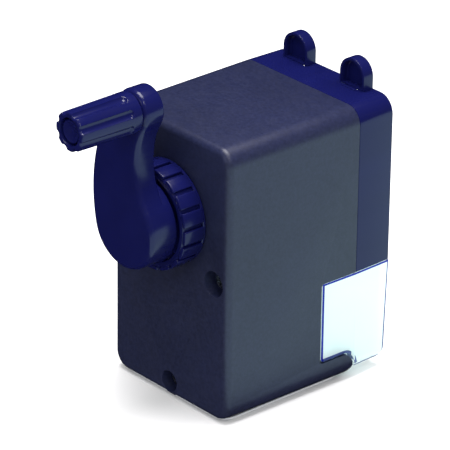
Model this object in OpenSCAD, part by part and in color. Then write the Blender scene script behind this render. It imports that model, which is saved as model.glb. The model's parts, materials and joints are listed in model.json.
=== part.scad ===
// Hand-cranked desk pencil sharpener with a self-feeding pencil carriage.
// +Z is up, the crank is on the -Y face and the pencil goes in from +Y.
// The origin lies on the table, under the middle of the body.

/* [Body] */
// Width of the body, side to side
body_w = 69.5; // [68:0.5:90]
// Depth of the body, from the crank face to the front edge
body_d = 83.4; // [80:0.2:110]
// Height of the body above its pad
body_h = 115; // [112:0.5:150]
// Radius of the four long edges
corner_r = 7.2; // [5:0.2:9]
// Wall of the grey shell
shell_t = 2.2; // [1.6:0.1:2.6]
// Thickness of the crank face
face_t = 2.6; // [2:0.1:3.2]
// Thickness of the anti-slip pad under the body
pad_t = 0.6; // [0.4:0.1:1.2]
// Margin of the pad inside the outline of the base
pad_margin = 5; // [3:0.5:10]
// Height of the crank and pencil axis above the pad
axis_h = 79.8; // [79:0.1:84]

/* [Front] */
// Depth of the front bezel
bezel_d = 17.8; // [16.5:0.1:26]
// Height of the lower edge of the bezel above the pad
bezel_h = 46.3; // [45:0.1:48]
// Width of the rim at the sides of the bezel
side_rim = 5.5; // [4:0.1:6]
// Width of the rim above and below the carriage
top_rim = 4.6; // [3.5:0.1:5]
// Pull-out travel of the pencil carriage
feed_travel = 28; // [10:1:30]

/* [Pinch tabs] */
// Radius of the round tab heads
tab_r = 6.9; // [5:0.1:7.4]
// Thickness of the tab heads
tab_t = 5.2; // [4.2:0.1:5.6]
// Distance between the middles of the two tab heads
tab_spacing = 32.8; // [30:0.1:36]
// Height of the middle of a tab head above the top of the body
tab_rise = 5; // [4:0.1:6]
// Squeeze angle of each tab
tab_angle = 4; // [2:0.5:5]
// Width of the stem under each tab head
tab_stem_w = 7; // [5:0.5:8]
// Thickness of each tab plate
tab_plate_t = 1.6; // [1.2:0.1:1.7]

/* [Chuck] */
// Radius of the pencil hole
pencil_hole_r = 5.2; // [4.6:0.1:6]
// Radius left between the closed jaws
jaw_rest_r = 3.2; // [3:0.1:3.6]
// Opening stroke of each jaw
jaw_stroke = 1.7; // [1:0.1:2]
// Width of a jaw
jaw_w = 6; // [4:0.5:8]
// Thickness of a jaw
jaw_t = 3.9; // [3:0.1:4]
// Thickness of the rubber pad on the tip of a jaw
jaw_pad_t = 2; // [1.2:0.1:2.6]
// Radius of the drive pin on a jaw
jaw_pin_r = 1; // [0.8:0.1:1.2]
// Distance of the drive pins from the pencil axis
jaw_pin_at = 21.3; // [21:0.1:22]

/* [Feed] */
// Radius of the two guide rods
rod_r = 2; // [1.5:0.1:2.2]
// Distance of the guide rods from the pencil axis
rod_x = 23.6; // [23.4:0.1:24]
// Wire radius of the feed springs
spring_wire_r = 0.35; // [0.3:0.05:0.4]
// Number of turns in each feed spring
spring_turns = 11; // [8:1:12]

/* [Drawer] */
// Height of the top of the drawer above the pad
drawer_h = 45.3; // [38:0.1:45.6]
// Wall of the drawer
drawer_t = 2; // [1.4:0.1:2.6]
// Distance of the side window from the crank face
window_at = 47.9; // [44:0.1:54]
// Height of the tongues that run under the drawer's cheeks
tongue_h = 11; // [9:0.1:14]
// Height of the drawer's front floor above the pad
drawer_lift = 4.4; // [3.5:0.1:6]
// Radius of the drawer's lower front edge
drawer_edge_r = 4; // [2:0.5:6]

/* [Lock ring] */
// Outer radius of the notched lock ring
lock_r = 21.2; // [20.8:0.1:23]
// Depth of the lock ring in front of the crank face
lock_d = 10.5; // [9:0.1:12]
// Number of notches round the lock ring
lock_notches = 18; // [12:1:24]
// Width of a notch
notch_w = 1.6; // [1:0.1:2.2]
// Depth of a notch
notch_d = 1.3; // [0.8:0.1:1.8]
// Turn that frees the lock ring
lock_turn = 30; // [15:1:35]

/* [Crank] */
// Distance from the crank face to the front of the crank
crank_out = 24; // [23:0.1:28]
// Radius of the crank hub
hub_r = 17.3; // [14:0.1:17.4]
// Depth of the crank hub
hub_t = 13; // [11:0.1:13]
// Height of the handle axis above the crank axis
throw_z = 49.2; // [44:0.1:58]
// Sideways offset of the handle axis
throw_x = 4.9; // [0:0.1:6]
// Radius of the collar behind the handle
collar_r = 8.8; // [8.6:0.1:11]
// Depth of the collar and the arm
collar_t = 9.4; // [8:0.1:11]
// Radius of the bulging edge of the arm
bulge_r = 66; // [60:1:140]
// Radius of the hollow edge of the arm
hollow_r = 30.5; // [26:0.5:40]

/* [Handle] */
// Length of the grip
grip_l = 28.9; // [26:0.1:40]
// Radius of the grip at the collar
grip_r = 8.3; // [7.8:0.1:8.5]
// Radius of the grip at its free end
grip_tip_r = 8.1; // [7.6:0.1:8.3]
// Number of flutes round the grip
flutes = 8; // [6:1:10]
// Radius of the rounded cutter that leaves a flute
flute_r = 1.7; // [1.2:0.1:2]
// Depth of a flute
flute_depth = 0.9; // [0.5:0.1:1.2]
// Plain length of the grip between the flutes and the collar
flute_land = 4; // [2:0.5:6]
// Radius of the pin that the grip turns on
pin_r = 3; // [2.5:0.1:3.4]
// Radius of the pin head
pin_head_r = 4.6; // [4:0.1:4.8]
// Depth of the recess in the free end of the grip
recess_d = 5; // [4:0.5:7]

/* [Cutter] */
// Gear module of the ring gear and the pinion
gear_module = 0.8; // [0.78:0.01:0.82]
// Teeth of the fixed ring gear
ring_teeth = 40; // [40:1:40]
// Teeth of the cutter pinion
pinion_teeth = 11; // [11:1:11]
// Radius of the cutter over its teeth
cutter_r = 6; // [5.4:0.1:6.2]
// Length of the cutter
cutter_l = 28; // [20:1:29]
// Helical teeth on the cutter
cutter_teeth = 12; // [8:1:16]
// Tilt of the cutter axle
cutter_tilt = 8.7; // [8:0.1:9]
// Radius of the cutter axle
axle_r = 1.6; // [1.2:0.1:1.8]
// Radius of the turning carrier
carrier_r = 16.6; // [16:0.1:16.8]
// Radius of the crank shaft
shaft_r = 4; // [3:0.1:4.2]
// Outer radius of the shaft bushing
bushing_r = 7; // [6:0.1:8]

/* [Screws] */
// Distance of the upper screw recesses from the middle
screw_x = 25.5; // [25:0.1:26]
// Height of the upper screw recesses above the pad
screw_h = 57.8; // [57.5:0.1:60]
// Radius of the upper screw recesses
recess_r = 5.3; // [4.6:0.1:5.4]
// Height of the lower screw recess above the pad
low_screw_h = 5.9; // [5.8:0.1:7]
// Radius of the lower screw recess
low_recess_r = 4.4; // [4:0.1:4.8]
// Depth of the screw recesses
recess_depth = 5.7; // [4:0.1:7]
// Radius of the screw shanks
shank_r = 1.3; // [1:0.1:1.5]
// Radius of the screw heads
head_r = 3.2; // [2.6:0.1:3.6]
// Radius of the shanks of the small inner screws
small_shank_r = 1; // [0.8:0.1:1.1]
// Radius of the heads of the small inner screws
small_head_r = 1.7; // [1.4:0.1:1.8]

/* [Fits] */
// Radial clearance of running shafts
run_gap = 0.05; // [0.02:0.01:0.1]
// Clearance between sliding pieces
slide_gap = 0.2; // [0.1:0.05:0.3]
// Clearance round the carriage and the drawer
panel_gap = 0.5; // [0.3:0.1:0.7]
// Distance kept between turning and standing faces
face_gap = 0.3; // [0.2:0.1:0.5]

/* [Hidden] */
$fn = 64;
eps = 1;
face_y = -body_d / 2;
front_y = body_d / 2;
seam_y = front_y - bezel_d;
top_z = pad_t + body_h;
axis_z = pad_t + axis_h;
inner_w = body_w / 2 - shell_t;
inner_back = face_y + face_t;
pad_r = 5;

// Inner frame
recess_wall = 1.6;
recess_floor = 1.8;
post_y = face_y + recess_depth + recess_floor;
post_l = 8;
post_half = 4.5;
deck_z = pad_t + bezel_h + 0.4;
deck_t = 2.2;
frame_w = inner_w - face_gap;
bulkhead_t = 3;
bulkhead_y = seam_y - bulkhead_t;
low_wall_t = 2;
bulkhead_hole_r = pencil_hole_r + 1.5;
chute_margin = 0.5;

// Drawer
bin_inset = shell_t + 0.4;
bin_back = post_y + low_wall_t + 0.8;
bin_overlap = 2;
front_step = 0.3;
drawer_front = front_y - front_step;

// Bezel opening and carriage
open_w = body_w / 2 - side_rim;
open_z0 = pad_t + bezel_h + top_rim;
open_z1 = top_z - top_rim;
open_r = 4;
plate_w = open_w - panel_gap;
plate_z0 = open_z0 + panel_gap;
plate_z1 = open_z1 - panel_gap;
plate_t = 1.8;
plate_front = front_y - front_step;
plate_back = plate_front - plate_t;
left_plate_y = plate_back - face_gap - tab_plate_t;
right_plate_y = left_plate_y - slide_gap - tab_plate_t;
chuck_front = right_plate_y - face_gap;
jaw_y1 = chuck_front - slide_gap;
jaw_y0 = jaw_y1 - jaw_t;
chuck_back = jaw_y0 - slide_gap - plate_t;
skirt_t = 1.8;
skirt_end = 4;
chuck_w = plate_w - skirt_t;
chuck_z0 = plate_z0 + skirt_t;
chuck_z1 = plate_z1 - 0.4;
chuck_r = 2;
post_inset = 4.6;
post_r = 3;
funnel_d = 1.6;
funnel_w = 1.8;
jaw_channel_end = 3.6;
jaw_end = 3;
jaw_pad_inset = 0.6;
jaw_pad_lip = 0.4;

// Tab rings
slot_half = jaw_pin_r + slide_gap;
tab_ring_in = jaw_pin_at - slot_half - 1.7;
tab_ring_out = jaw_pin_at + jaw_stroke + slot_half + 1.6;
tab_z = top_z + tab_rise;
tab_front = front_y - 0.6;
tab_back = tab_front - tab_t;
hollow_rim = 1.5;
hollow_d = 2.8;
stem_foot = 12;
tab_foot_z = top_z + face_gap;
tab_floor = 1.2;
tab_sweep = (body_h - axis_h) * tan(tab_angle);
notch_out = tab_stem_w / 2 + 0.5;
notch_in = tab_stem_w / 2 + tab_sweep + 0.7;
tab_notch_gap = 0.4;
tab_spring_r = 1.5;
tab_spring_wire_r = 0.25;
tab_spring_turns = 10;
tab_spring_lean = 0.3;
tab_spring_z = plate_z1 - tab_spring_r - 0.7;

// Feed
rod_tail = bulkhead_y - feed_travel - 12;
rod_seat = 1.5;
rod_end = 1;
collar_l = 2;
rod_bush_lip = 1;
spring_play = 0.1;
rod_collar_r = 3.9;
rod_bush_r = 3.4;
spring_r = rod_r + 1.1;

// Lock ring
lock_front = face_y - lock_d;
cup_r = 17.4;
neck_r = 18.7;
hole_r = neck_r + slide_gap;
lug_r = 20.6;
lug_arc = 26;
lug_t = 2;
web_y0 = lock_front + 1.6;
web_t = 2.2;
ring_land = 1.2;
ring_gap = 0.1;
bushing_front = web_y0 - 0.6;
bushing_back = web_y0 + web_t + 1;

// Crank
crank_y = face_y - crank_out;
hub_back = crank_y + hub_t;
handle_x = throw_x;
handle_z = axis_z + throw_z;
grip_back = crank_y - face_gap;
grip_front = grip_back - grip_l;
grip_recess_r = 5.4;
pin_back = crank_y + collar_t - 2;
pin_head_t = 1.6;
pin_head_back = grip_front + recess_d - slide_gap;
shaft_front = crank_y + 3.4;

// Carrier and cutter
end_y0 = web_y0 + web_t + 1.4;
end_y1 = end_y0 + 4.8;
shaft_back = end_y0 + 2.2;
pinion_l = 4;
carrier_l = 51.2;
mouth_y1 = end_y0 + carrier_l;
mouth_t = 4;
mouth_r = carrier_r - 0.6;
cone_l = 26;
cone_tip_r = 0.6;
mouth_y0 = mouth_y1 - mouth_t;
gear_y0 = mouth_y1 + 0.4;
gear_l = 6.6;
gear_wall_y = gear_y0 + gear_l;
gear_wall_t = 2.6;
gear_out_r = 19.6;
gear_wall_w = gear_out_r + 0.1;
gear_wall_top = axis_z + gear_out_r + 1.6;
pinion_y = gear_y0 + 2.8;
centre_d = gear_module * (ring_teeth - pinion_teeth) / 2;
tooth_add = 0.5;
tooth_ded = 0.85;
tooth_w = 0.96;
pressure_angle = 20;
journal_r = 5.6;
journal_bore = 4.3;
guide_r = 8;
guide_l = 3.4;
journal_end = gear_wall_y + guide_l - 0.4;
cutter_from = -9.5;
cutter_tooth_d = 1.1;
cutter_twist = 110;
axle_tail = (shaft_back + 0.5 - pinion_y) / cos(cutter_tilt);
axle_nose = pinion_l / 2 + 0.9;
clip_t = 0.6;
clip_w = 1.1;
rail_in = cutter_r + 2.2;
rail_out = carrier_r + 1;
rail_z0 = axis_z - 7;
rail_z1 = axis_z + 9;
saddle_l = 24;
saddle_z = axis_z - 0.6;

// A 2D outline in X and Z, made solid from y0 to y1.
module slab_y(y0, y1) {
    translate([0, y1, 0])
        rotate([90, 0, 0])
            linear_extrude(y1 - y0)
                children();
}

// A round bar along Y.
module bar_y(r, y0, y1, x = 0, z = axis_z) {
    translate([x, y0, z])
        rotate([-90, 0, 0])
            cylinder(r = r, h = y1 - y0);
}

// A tube along Y.
module tube_y(r_out, r_in, y0, y1, x = 0, z = axis_z) {
    difference() {
        bar_y(r_out, y0, y1, x, z);
        bar_y(r_in, y0 - eps, y1 + eps, x, z);
    }
}

// A box from its two corners.
module block(low, high) {
    translate(low)
        cube(high - low);
}

// A rectangle with round corners, from its two corners.
module round_rect(x0, z0, x1, z1, r) {
    translate([x0 + r, z0])
        square([x1 - x0 - 2 * r, z1 - z0]);
    translate([x0, z0 + r])
        square([x1 - x0, z1 - z0 - 2 * r]);
    for (x = [x0 + r, x1 - r], z = [z0 + r, z1 - r])
        translate([x, z])
            circle(r = r);
}

// The outline of the body, drawn in by an inset.
module body_section(inset) {
    round_rect(-body_w / 2 + inset, pad_t + inset, body_w / 2 - inset, top_z - inset,
        corner_r - inset);
}

// Turns its children about the pencil axis, from +X towards +Z.
module about_axis(angle) {
    translate([0, 0, axis_z])
        rotate([0, -angle, 0])
            translate([0, 0, -axis_z])
                children();
}

// A helical spring along Z, as a chain of short straight wires.
module coil(r, wire_r, length, turns) {
    steps = 14;
    count = turns * steps;
    pitch = length / turns;
    profile = [for (k = [0:5]) [wire_r * cos(60 * k), wire_r * sin(60 * k)]];
    points = [for (i = [0:count]) let (a = 360 * i / steps)
        for (p = profile) [(r + p[0]) * cos(a), (r + p[0]) * sin(a), pitch * i / steps + p[1]]];
    sides = [for (i = [0:count - 1], k = [0:5]) let (a = 6 * i + k, b = 6 * i + (k + 1) % 6)
        each [[a + 6, b + 6, b], [a + 6, b, a]]];
    ends = [[for (k = [0:5]) 5 - k], [for (k = [0:5]) 6 * count + k]];
    polyhedron(points, concat(sides, ends));
}

// Screw recess cups, standing on the inside of the crank face.
module recess_cup(x, z, r) {
    bar_y(r + recess_wall, face_y, post_y, x, z);
}

module recess_cut(x, z, r) {
    bar_y(r, face_y - eps, face_y + recess_depth, x, z);
    bar_y(shank_r + slide_gap, face_y, post_y + eps, x, z);
}

// A cross-head screw along Y: its head ends at head_at, its shank goes on from there.
module screw_y(x, z, head_at, length, head, head_l, shank) {
    difference() {
        union() {
            bar_y(head, head_at - head_l, head_at, x, z);
            bar_y(shank, head_at - head_l / 2, head_at + length, x, z);
        }
        for (turn = [0, 90])
            translate([x, head_at - head_l, z])
                rotate([0, turn, 0])
                    cube([1.1 * head, head_l, 0.28 * head], center = true);
    }
}

// One lug of the bayonet, on the +X side, or the gap that lets it through when grown.
module lug(y0, y1, r, arc) {
    half = [2 * r * cos(arc / 2), 2 * r * sin(arc / 2)];
    difference() {
        intersection() {
            bar_y(r, y0, y1);
            translate([0, 0, axis_z])
                slab_y(y0, y1)
                    polygon([[0, 0], [half[0], -half[1]], half]);
        }
        bar_y(neck_r - 1, y0 - eps, y1 + eps);
    }
}

module housing() {
    color("#46505f")
        difference() {
            union() {
                difference() {
                    slab_y(face_y, seam_y)
                        body_section(0);
                    slab_y(inner_back, seam_y + eps)
                        body_section(shell_t);
                }
                intersection() {
                    slab_y(face_y, seam_y)
                        body_section(0);
                    union() {
                        for (side = [-1, 1])
                            recess_cup(side * screw_x, pad_t + screw_h, recess_r);
                        recess_cup(0, pad_t + low_screw_h, low_recess_r);
                    }
                }
            }
            block([-body_w, face_y + window_at, pad_t + tongue_h],
                [body_w, seam_y + eps, pad_t + drawer_h + panel_gap]);
            bar_y(hole_r, face_y - eps, inner_back + eps);
            for (k = [0:2])
                about_axis(120 * k + 90 + lock_turn)
                    lug(face_y - eps, inner_back + eps, lug_r + slide_gap, lug_arc + 4);
            for (side = [-1, 1])
                recess_cut(side * screw_x, pad_t + screw_h, recess_r);
            recess_cut(0, pad_t + low_screw_h, low_recess_r);
        }
}

module front_bezel() {
    color("#1d2360")
        difference() {
            slab_y(seam_y, front_y)
                body_section(0);
            block([-body_w, seam_y - eps, -eps], [body_w, front_y + eps, pad_t + bezel_h]);
            slab_y(seam_y - eps, front_y + eps)
                round_rect(-open_w, open_z0, open_w, open_z1, open_r);
            for (side = [-1, 1])
                tab_notch(side);
            for (side = [-1, 1], z = bezel_screw_heights())
                bar_y(small_shank_r, seam_y - eps, seam_y + 8, side * bezel_screw_x(), z);
        }
}

function bezel_screw_x() = inner_w - 1.9;
function bezel_screw_heights() = [open_z0 + 8, open_z1 - 10];

// The front-open notch in the top rim that a tab's foot moves in.
module tab_notch(side) {
    x_out = side * (tab_spacing / 2 + notch_out);
    x_in = side * (tab_spacing / 2 - notch_in);
    block([min(x_out, x_in), tab_back - tab_notch_gap, open_z1 - eps],
        [max(x_out, x_in), front_y + eps, top_z + eps]);
}

module inner_frame() {
    color("#26272b")
        difference() {
            union() {
                block([-frame_w, post_y, deck_z], [frame_w, seam_y, deck_z + deck_t]);
                intersection() {
                    slab_y(bulkhead_y, seam_y)
                        body_section(shell_t + face_gap);
                    block([-frame_w, bulkhead_y, deck_z], [frame_w, seam_y, top_z]);
                }
                block([-gear_wall_w, gear_wall_y, deck_z],
                    [gear_wall_w, gear_wall_y + gear_wall_t, gear_wall_top]);
                for (side = [-1, 1])
                    frame_post(side);
                intersection() {
                    slab_y(post_y, post_y + low_wall_t)
                        body_section(shell_t + face_gap);
                    block([-frame_w, post_y, 0], [frame_w, post_y + low_wall_t, deck_z + eps]);
                }
            }
            block([-gear_out_r, post_y + low_wall_t, deck_z - eps],
                [gear_out_r, gear_wall_y - chute_margin, deck_z + deck_t + eps]);
            bar_y(shank_r, post_y - eps, post_y + low_wall_t + eps, 0, pad_t + low_screw_h);
            bar_y(guide_r, gear_wall_y - eps, gear_wall_y + gear_wall_t + eps);
            bar_y(bulkhead_hole_r, bulkhead_y - eps, seam_y + eps);
            for (side = [-1, 1]) {
                bar_y(rod_bush_r, bulkhead_y - eps, seam_y + eps, side * rod_x);
                bar_y(shank_r, post_y - eps, post_y + post_l + eps, side * screw_x, pad_t + screw_h);
                for (z = bezel_screw_heights())
                    bar_y(small_shank_r + slide_gap, bulkhead_y - eps, seam_y + eps,
                        side * bezel_screw_x(), z);
            }
        }
}

module frame_post(side) {
    x = side * screw_x;
    block([x - post_half, post_y, deck_z],
        [x + post_half, post_y + post_l, pad_t + screw_h + post_half]);
}

module base_pad() {
    color("#c9cdd3")
        linear_extrude(pad_t)
            round_rect(-body_w / 2 + pad_margin, face_y + pad_margin / 2,
                body_w / 2 - pad_margin, seam_y - pad_margin / 2, pad_r);
}

// Side profile of the drawer's cheeks, in Y and Z, with a hook over the tongue.
module cheek_profile(inset) {
    z0 = pad_t + drawer_lift + inset;
    z1 = pad_t + tongue_h + panel_gap + inset;
    y0 = face_y + window_at + panel_gap + inset;
    y1 = seam_y + panel_gap + inset;
    y2 = drawer_front - inset;
    r = max(drawer_edge_r - inset, 0.5);
    top = pad_t + drawer_h - (inset > 0 ? -eps : 0);
    translate([y0, z1])
        square([y2 - y0, top - z1]);
    translate([y1, z0])
        square([y2 - y1 - r, top - z0]);
    translate([y1, z0 + r])
        square([y2 - y1, top - z0 - r]);
    translate([y2 - r, z0 + r])
        circle(r = r);
}

module cheek_block(inset) {
    intersection() {
        slab_y(face_y, front_y)
            body_section(inset);
        rotate([90, 0, 90])
            translate([0, 0, -body_w])
                linear_extrude(2 * body_w)
                    cheek_profile(inset);
    }
}

// The part of the drawer that runs inside the housing, drawn in by an inset.
module drawer_bin(inset) {
    intersection() {
        slab_y(bin_back + inset, seam_y + bin_overlap + 2 * inset)
            body_section(bin_inset + inset);
        block([-body_w, face_y, 0], [body_w, front_y, pad_t + drawer_h + inset]);
    }
}

module shavings_drawer() {
    color("#d8ecf4", 0.5)
        difference() {
            union() {
                cheek_block(0);
                drawer_bin(0);
            }
            cheek_block(drawer_t);
            drawer_bin(drawer_t);
        }
}

module lock_ring() {
    color("#282f5d")
        difference() {
            union() {
                tube_y(lock_r, cup_r, lock_front, face_y - ring_gap);
                tube_y(neck_r, cup_r, face_y - eps, inner_back + face_gap + lug_t);
                tube_y(cup_r + eps, bushing_r, web_y0, web_y0 + web_t);
                for (k = [0:2])
                    about_axis(120 * k + 90)
                        lug(inner_back + face_gap, inner_back + face_gap + lug_t, lug_r, lug_arc);
            }
            for (k = [0:lock_notches - 1])
                about_axis(360 * k / lock_notches + 5)
                    block([lock_r - notch_d, lock_front - eps, axis_z - notch_w / 2],
                        [lock_r + eps, face_y - ring_land, axis_z + notch_w / 2]);
        }
}

module shaft_bushing() {
    color("#b08d4c")
        tube_y(bushing_r, shaft_r + run_gap, bushing_front, bushing_back);
}

module crank_shaft() {
    color("#a9adb3")
        bar_y(shaft_r, shaft_front, shaft_back);
}

// Middle of a circle of radius r that touches circle a at distance da and circle b at db.
function touching(a, b, da, db, side) =
    let (gap = norm(b - a), along = (da * da + gap * gap - db * db) / (2 * gap),
        off = sqrt(da * da - along * along), dir = (b - a) / gap)
    a + along * dir + side * off * [dir[1], -dir[0]];

// Points along an arc, from angle a0 to angle a1.
function arc(middle, r, a0, a1, steps = 24) =
    [for (i = [0:steps]) let (a = a0 + (a1 - a0) * i / steps) middle + r * [cos(a), sin(a)]];

// Direction from point a to point b, from 0 up to 360 degrees.
function heading(a, b) = let (h = atan2(b[1] - a[1], b[0] - a[0])) h < 0 ? h + 360 : h;

// Outline of the arm: round the hub, up the hollow edge, round the collar, down the bulge.
function arm_outline(hub, knob, hub_radius) =
    let (bulge = touching(hub, knob, bulge_r - hub_radius, bulge_r - collar_r, 1),
        hollow = touching(hub, knob, hollow_r + hub_radius, hollow_r + collar_r, 1))
    concat(
        arc(hub, hub_radius, heading(bulge, hub), heading(hub, hollow) + 360, 48),
        arc(hollow, hollow_r, heading(hollow, hub), heading(hollow, knob)),
        arc(knob, collar_r, heading(knob, hollow) - 360, heading(bulge, knob), 36),
        arc(bulge, bulge_r, heading(bulge, knob), heading(bulge, hub)));

module crank_arm() {
    color("#181c3e")
        difference() {
            union() {
                bar_y(hub_r, crank_y, hub_back);
                slab_y(crank_y, crank_y + collar_t)
                    polygon(arm_outline([0, axis_z], [handle_x, handle_z], hub_r - 0.05));
            }
            bar_y(shaft_r, shaft_front, hub_back + eps);
            bar_y(pin_r, crank_y - eps, pin_back, handle_x, handle_z);
        }
}

module handle_pin() {
    color("#8f9399")
        union() {
            bar_y(pin_r, pin_head_back - eps, pin_back, handle_x, handle_z);
            bar_y(pin_head_r, pin_head_back - pin_head_t, pin_head_back, handle_x, handle_z);
        }
}

module handle_grip() {
    color("#2f3570")
        difference() {
            translate([handle_x, grip_front, handle_z])
                rotate([-90, 0, 0])
                    cylinder(r1 = grip_tip_r, r2 = grip_r, h = grip_l);
            bar_y(pin_r + run_gap, grip_front - eps, grip_back + eps, handle_x, handle_z);
            bar_y(grip_recess_r, grip_front - eps, grip_front + recess_d, handle_x, handle_z);
            for (k = [0:flutes - 1])
                translate([handle_x, 0, handle_z])
                    rotate([0, -360 * (k + 0.5) / flutes, 0])
                        bar_y(flute_r, grip_front - eps, grip_back - flute_land,
                            grip_r - flute_depth + flute_r, 0);
        }
}

// Its children, drawn along +Z, laid along the cutter axle from the pinion's middle.
module along_axle() {
    translate([0, pinion_y, axis_z + centre_d])
        rotate([cutter_tilt - 90, 0, 0])
            children();
}

// The way for the pencil: a cone round the cutter's place that opens into the journal's bore.
module pencil_way() {
    translate([0, 0, axis_z])
        rotate([-90, 0, 0])
            rotate_extrude()
                polygon([[0, mouth_y0 - cone_l], [cone_tip_r, mouth_y0 - cone_l],
                    [journal_bore, mouth_y0], [journal_bore, journal_end + eps],
                    [0, journal_end + eps]]);
}

module cutter_carrier() {
    color("#1e1f23")
        difference() {
            union() {
                bar_y(carrier_r, end_y0, end_y1);
                bar_y(mouth_r, mouth_y0, mouth_y1);
                bar_y(journal_r, mouth_y1 - eps, journal_end);
                intersection() {
                    bar_y(mouth_r, end_y1 - eps, mouth_y0 + eps);
                    union() {
                        for (side = [-1, 1])
                            block([min(side * rail_in, side * rail_out), end_y1 - eps, rail_z0],
                                [max(side * rail_in, side * rail_out), mouth_y0 + eps, rail_z1]);
                        block([-rail_in, mouth_y0 - saddle_l, rail_z0],
                            [rail_in, mouth_y0 + eps, saddle_z]);
                    }
                }
            }
            pencil_way();
            bar_y(shaft_r, end_y0 - eps, shaft_back);
            along_axle()
                translate([0, 0, axle_tail])
                    cylinder(r = axle_r, h = axle_nose - axle_tail);
        }
}

module cutter_axle() {
    color("#b9bdc3")
        along_axle()
            translate([0, 0, axle_tail])
                cylinder(r = axle_r, h = axle_nose - axle_tail);
}

module axle_clip() {
    color("#777b80")
        along_axle()
            translate([0, 0, pinion_l / 2 + 0.15])
                difference() {
                    cylinder(r = axle_r + clip_w, h = clip_t);
                    translate([0, 0, -eps])
                        cylinder(r = axle_r, h = clip_t + 2 * eps);
                }
}

module helical_cutter() {
    root = cutter_r - cutter_tooth_d;
    color("#c4c8ce")
        along_axle()
            translate([0, 0, cutter_from - cutter_l])
                difference() {
                    linear_extrude(cutter_l, twist = -cutter_twist, slices = 22)
                        union() {
                            circle(r = root, $fn = 48);
                            for (k = [0:cutter_teeth - 1])
                                rotate(360 * k / cutter_teeth)
                                    polygon([[root - 0.4, -1], [cutter_r, -0.2], [cutter_r, 0.2],
                                        [root - 0.4, 0.9]]);
                        }
                    translate([0, 0, -eps])
                        cylinder(r = axle_r + run_gap, h = cutter_l + 2 * eps);
                }
}

// Outline of a gear: trapezoid teeth that point outward when out is 1, inward when it is -1.
function gear_outline(count, pitch_r, out, first) =
    let (root = pitch_r - out * tooth_ded, tip = pitch_r + out * tooth_add,
        root_half = tooth_w / 2 + tooth_ded * tan(pressure_angle),
        tip_half = tooth_w / 2 - tooth_add * tan(pressure_angle))
    [for (k = [0:count - 1]) let (a = first + 360 * k / count)
        for (p = [[root, -root_half], [tip, -tip_half], [tip, tip_half], [root, root_half]])
            [p[0] * cos(a) - p[1] * sin(a), p[0] * sin(a) + p[1] * cos(a)]];

module cutter_pinion() {
    color("#c9a45c")
        along_axle()
            translate([0, 0, -pinion_l / 2])
                difference() {
                    linear_extrude(pinion_l)
                        polygon(gear_outline(pinion_teeth, gear_module * pinion_teeth / 2, 1, -90));
                    translate([0, 0, -eps])
                        cylinder(r = axle_r + run_gap, h = pinion_l + 2 * eps);
                }
}

module ring_gear() {
    first = 90 + 180 / ring_teeth;
    color("#e4e4de")
        translate([0, 0, axis_z])
            slab_y(gear_y0, gear_y0 + gear_l)
                difference() {
                    circle(r = gear_out_r);
                    polygon(gear_outline(ring_teeth, gear_module * ring_teeth / 2, -1, first));
                }
}

module pencil_guide() {
    color("#e4e4de")
        tube_y(guide_r, journal_r + run_gap, gear_wall_y, gear_wall_y + guide_l);
}

module carriage_plate() {
    color("#1d2360")
        difference() {
            union() {
                slab_y(plate_back, plate_front)
                    round_rect(-plate_w, plate_z0, plate_w, plate_z1, open_r - panel_gap);
                bar_y(tab_ring_in - slide_gap, chuck_front, plate_back + eps);
                for (x = post_xs(), z = post_zs())
                    bar_y(post_r, chuck_front, plate_back + eps, x, z);
                for (side = [-1, 1])
                    block([min(side * plate_w, side * (chuck_w + slide_gap)), chuck_back,
                            plate_z0 + skirt_end],
                        [max(side * plate_w, side * (chuck_w + slide_gap)), plate_back + eps,
                            plate_z1 - skirt_end]);
                block([-plate_w + skirt_end, chuck_back, plate_z0],
                    [plate_w - skirt_end, plate_back + eps, chuck_z0 - slide_gap]);
            }
            bar_y(pencil_hole_r, chuck_front - eps, plate_front + eps);
            translate([0, plate_front - funnel_d, axis_z])
                rotate([-90, 0, 0])
                    cylinder(r1 = pencil_hole_r, r2 = pencil_hole_r + funnel_w, h = funnel_d);
            for (x = post_xs(), z = post_zs())
                bar_y(small_shank_r, chuck_front - eps, plate_back - 0.4, x, z);
        }
}

function post_xs() = [-plate_w + post_inset, plate_w - post_inset];
function post_zs() = [plate_z0 + post_inset, plate_z1 - post_inset];

module jaw_guide() {
    color("#2b2c31")
        difference() {
            slab_y(chuck_back, chuck_front)
                round_rect(-chuck_w, chuck_z0, chuck_w, chuck_z1, chuck_r);
            for (angle = jaw_angles())
                about_axis(angle)
                    block([0, jaw_y0 - slide_gap, axis_z - jaw_w / 2 - slide_gap],
                        [jaw_pin_at + jaw_stroke + jaw_channel_end, chuck_front + eps,
                            axis_z + jaw_w / 2 + slide_gap]);
            bar_y(pencil_hole_r, chuck_back - eps, chuck_front + eps);
            for (side = [-1, 1])
                bar_y(rod_r, chuck_back - eps, chuck_front - rod_seat, side * rod_x);
            for (x = post_xs(), z = post_zs())
                bar_y(small_shank_r + slide_gap, chuck_back - eps, chuck_front + eps, x, z);
        }
}

function jaw_angles() = [90, 210, 330];

module jaw(angle) {
    color("#9da1a7")
        about_axis(angle) {
            block([jaw_rest_r + jaw_pad_t, jaw_y0, axis_z - jaw_w / 2],
                [jaw_pin_at + jaw_end, jaw_y1, axis_z + jaw_w / 2]);
            bar_y(jaw_pin_r, jaw_y1 - eps, plate_back - face_gap, jaw_pin_at);
        }
}

module jaw_pad(angle) {
    color("#3a3a3c")
        about_axis(angle)
            difference() {
                block([jaw_rest_r - jaw_pad_lip, jaw_y0, axis_z - jaw_w / 2 + jaw_pad_inset],
                    [jaw_rest_r + jaw_pad_t, jaw_y1, axis_z + jaw_w / 2 - jaw_pad_inset]);
                bar_y(jaw_rest_r, jaw_y0 - eps, jaw_y1 + eps);
            }
}

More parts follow.
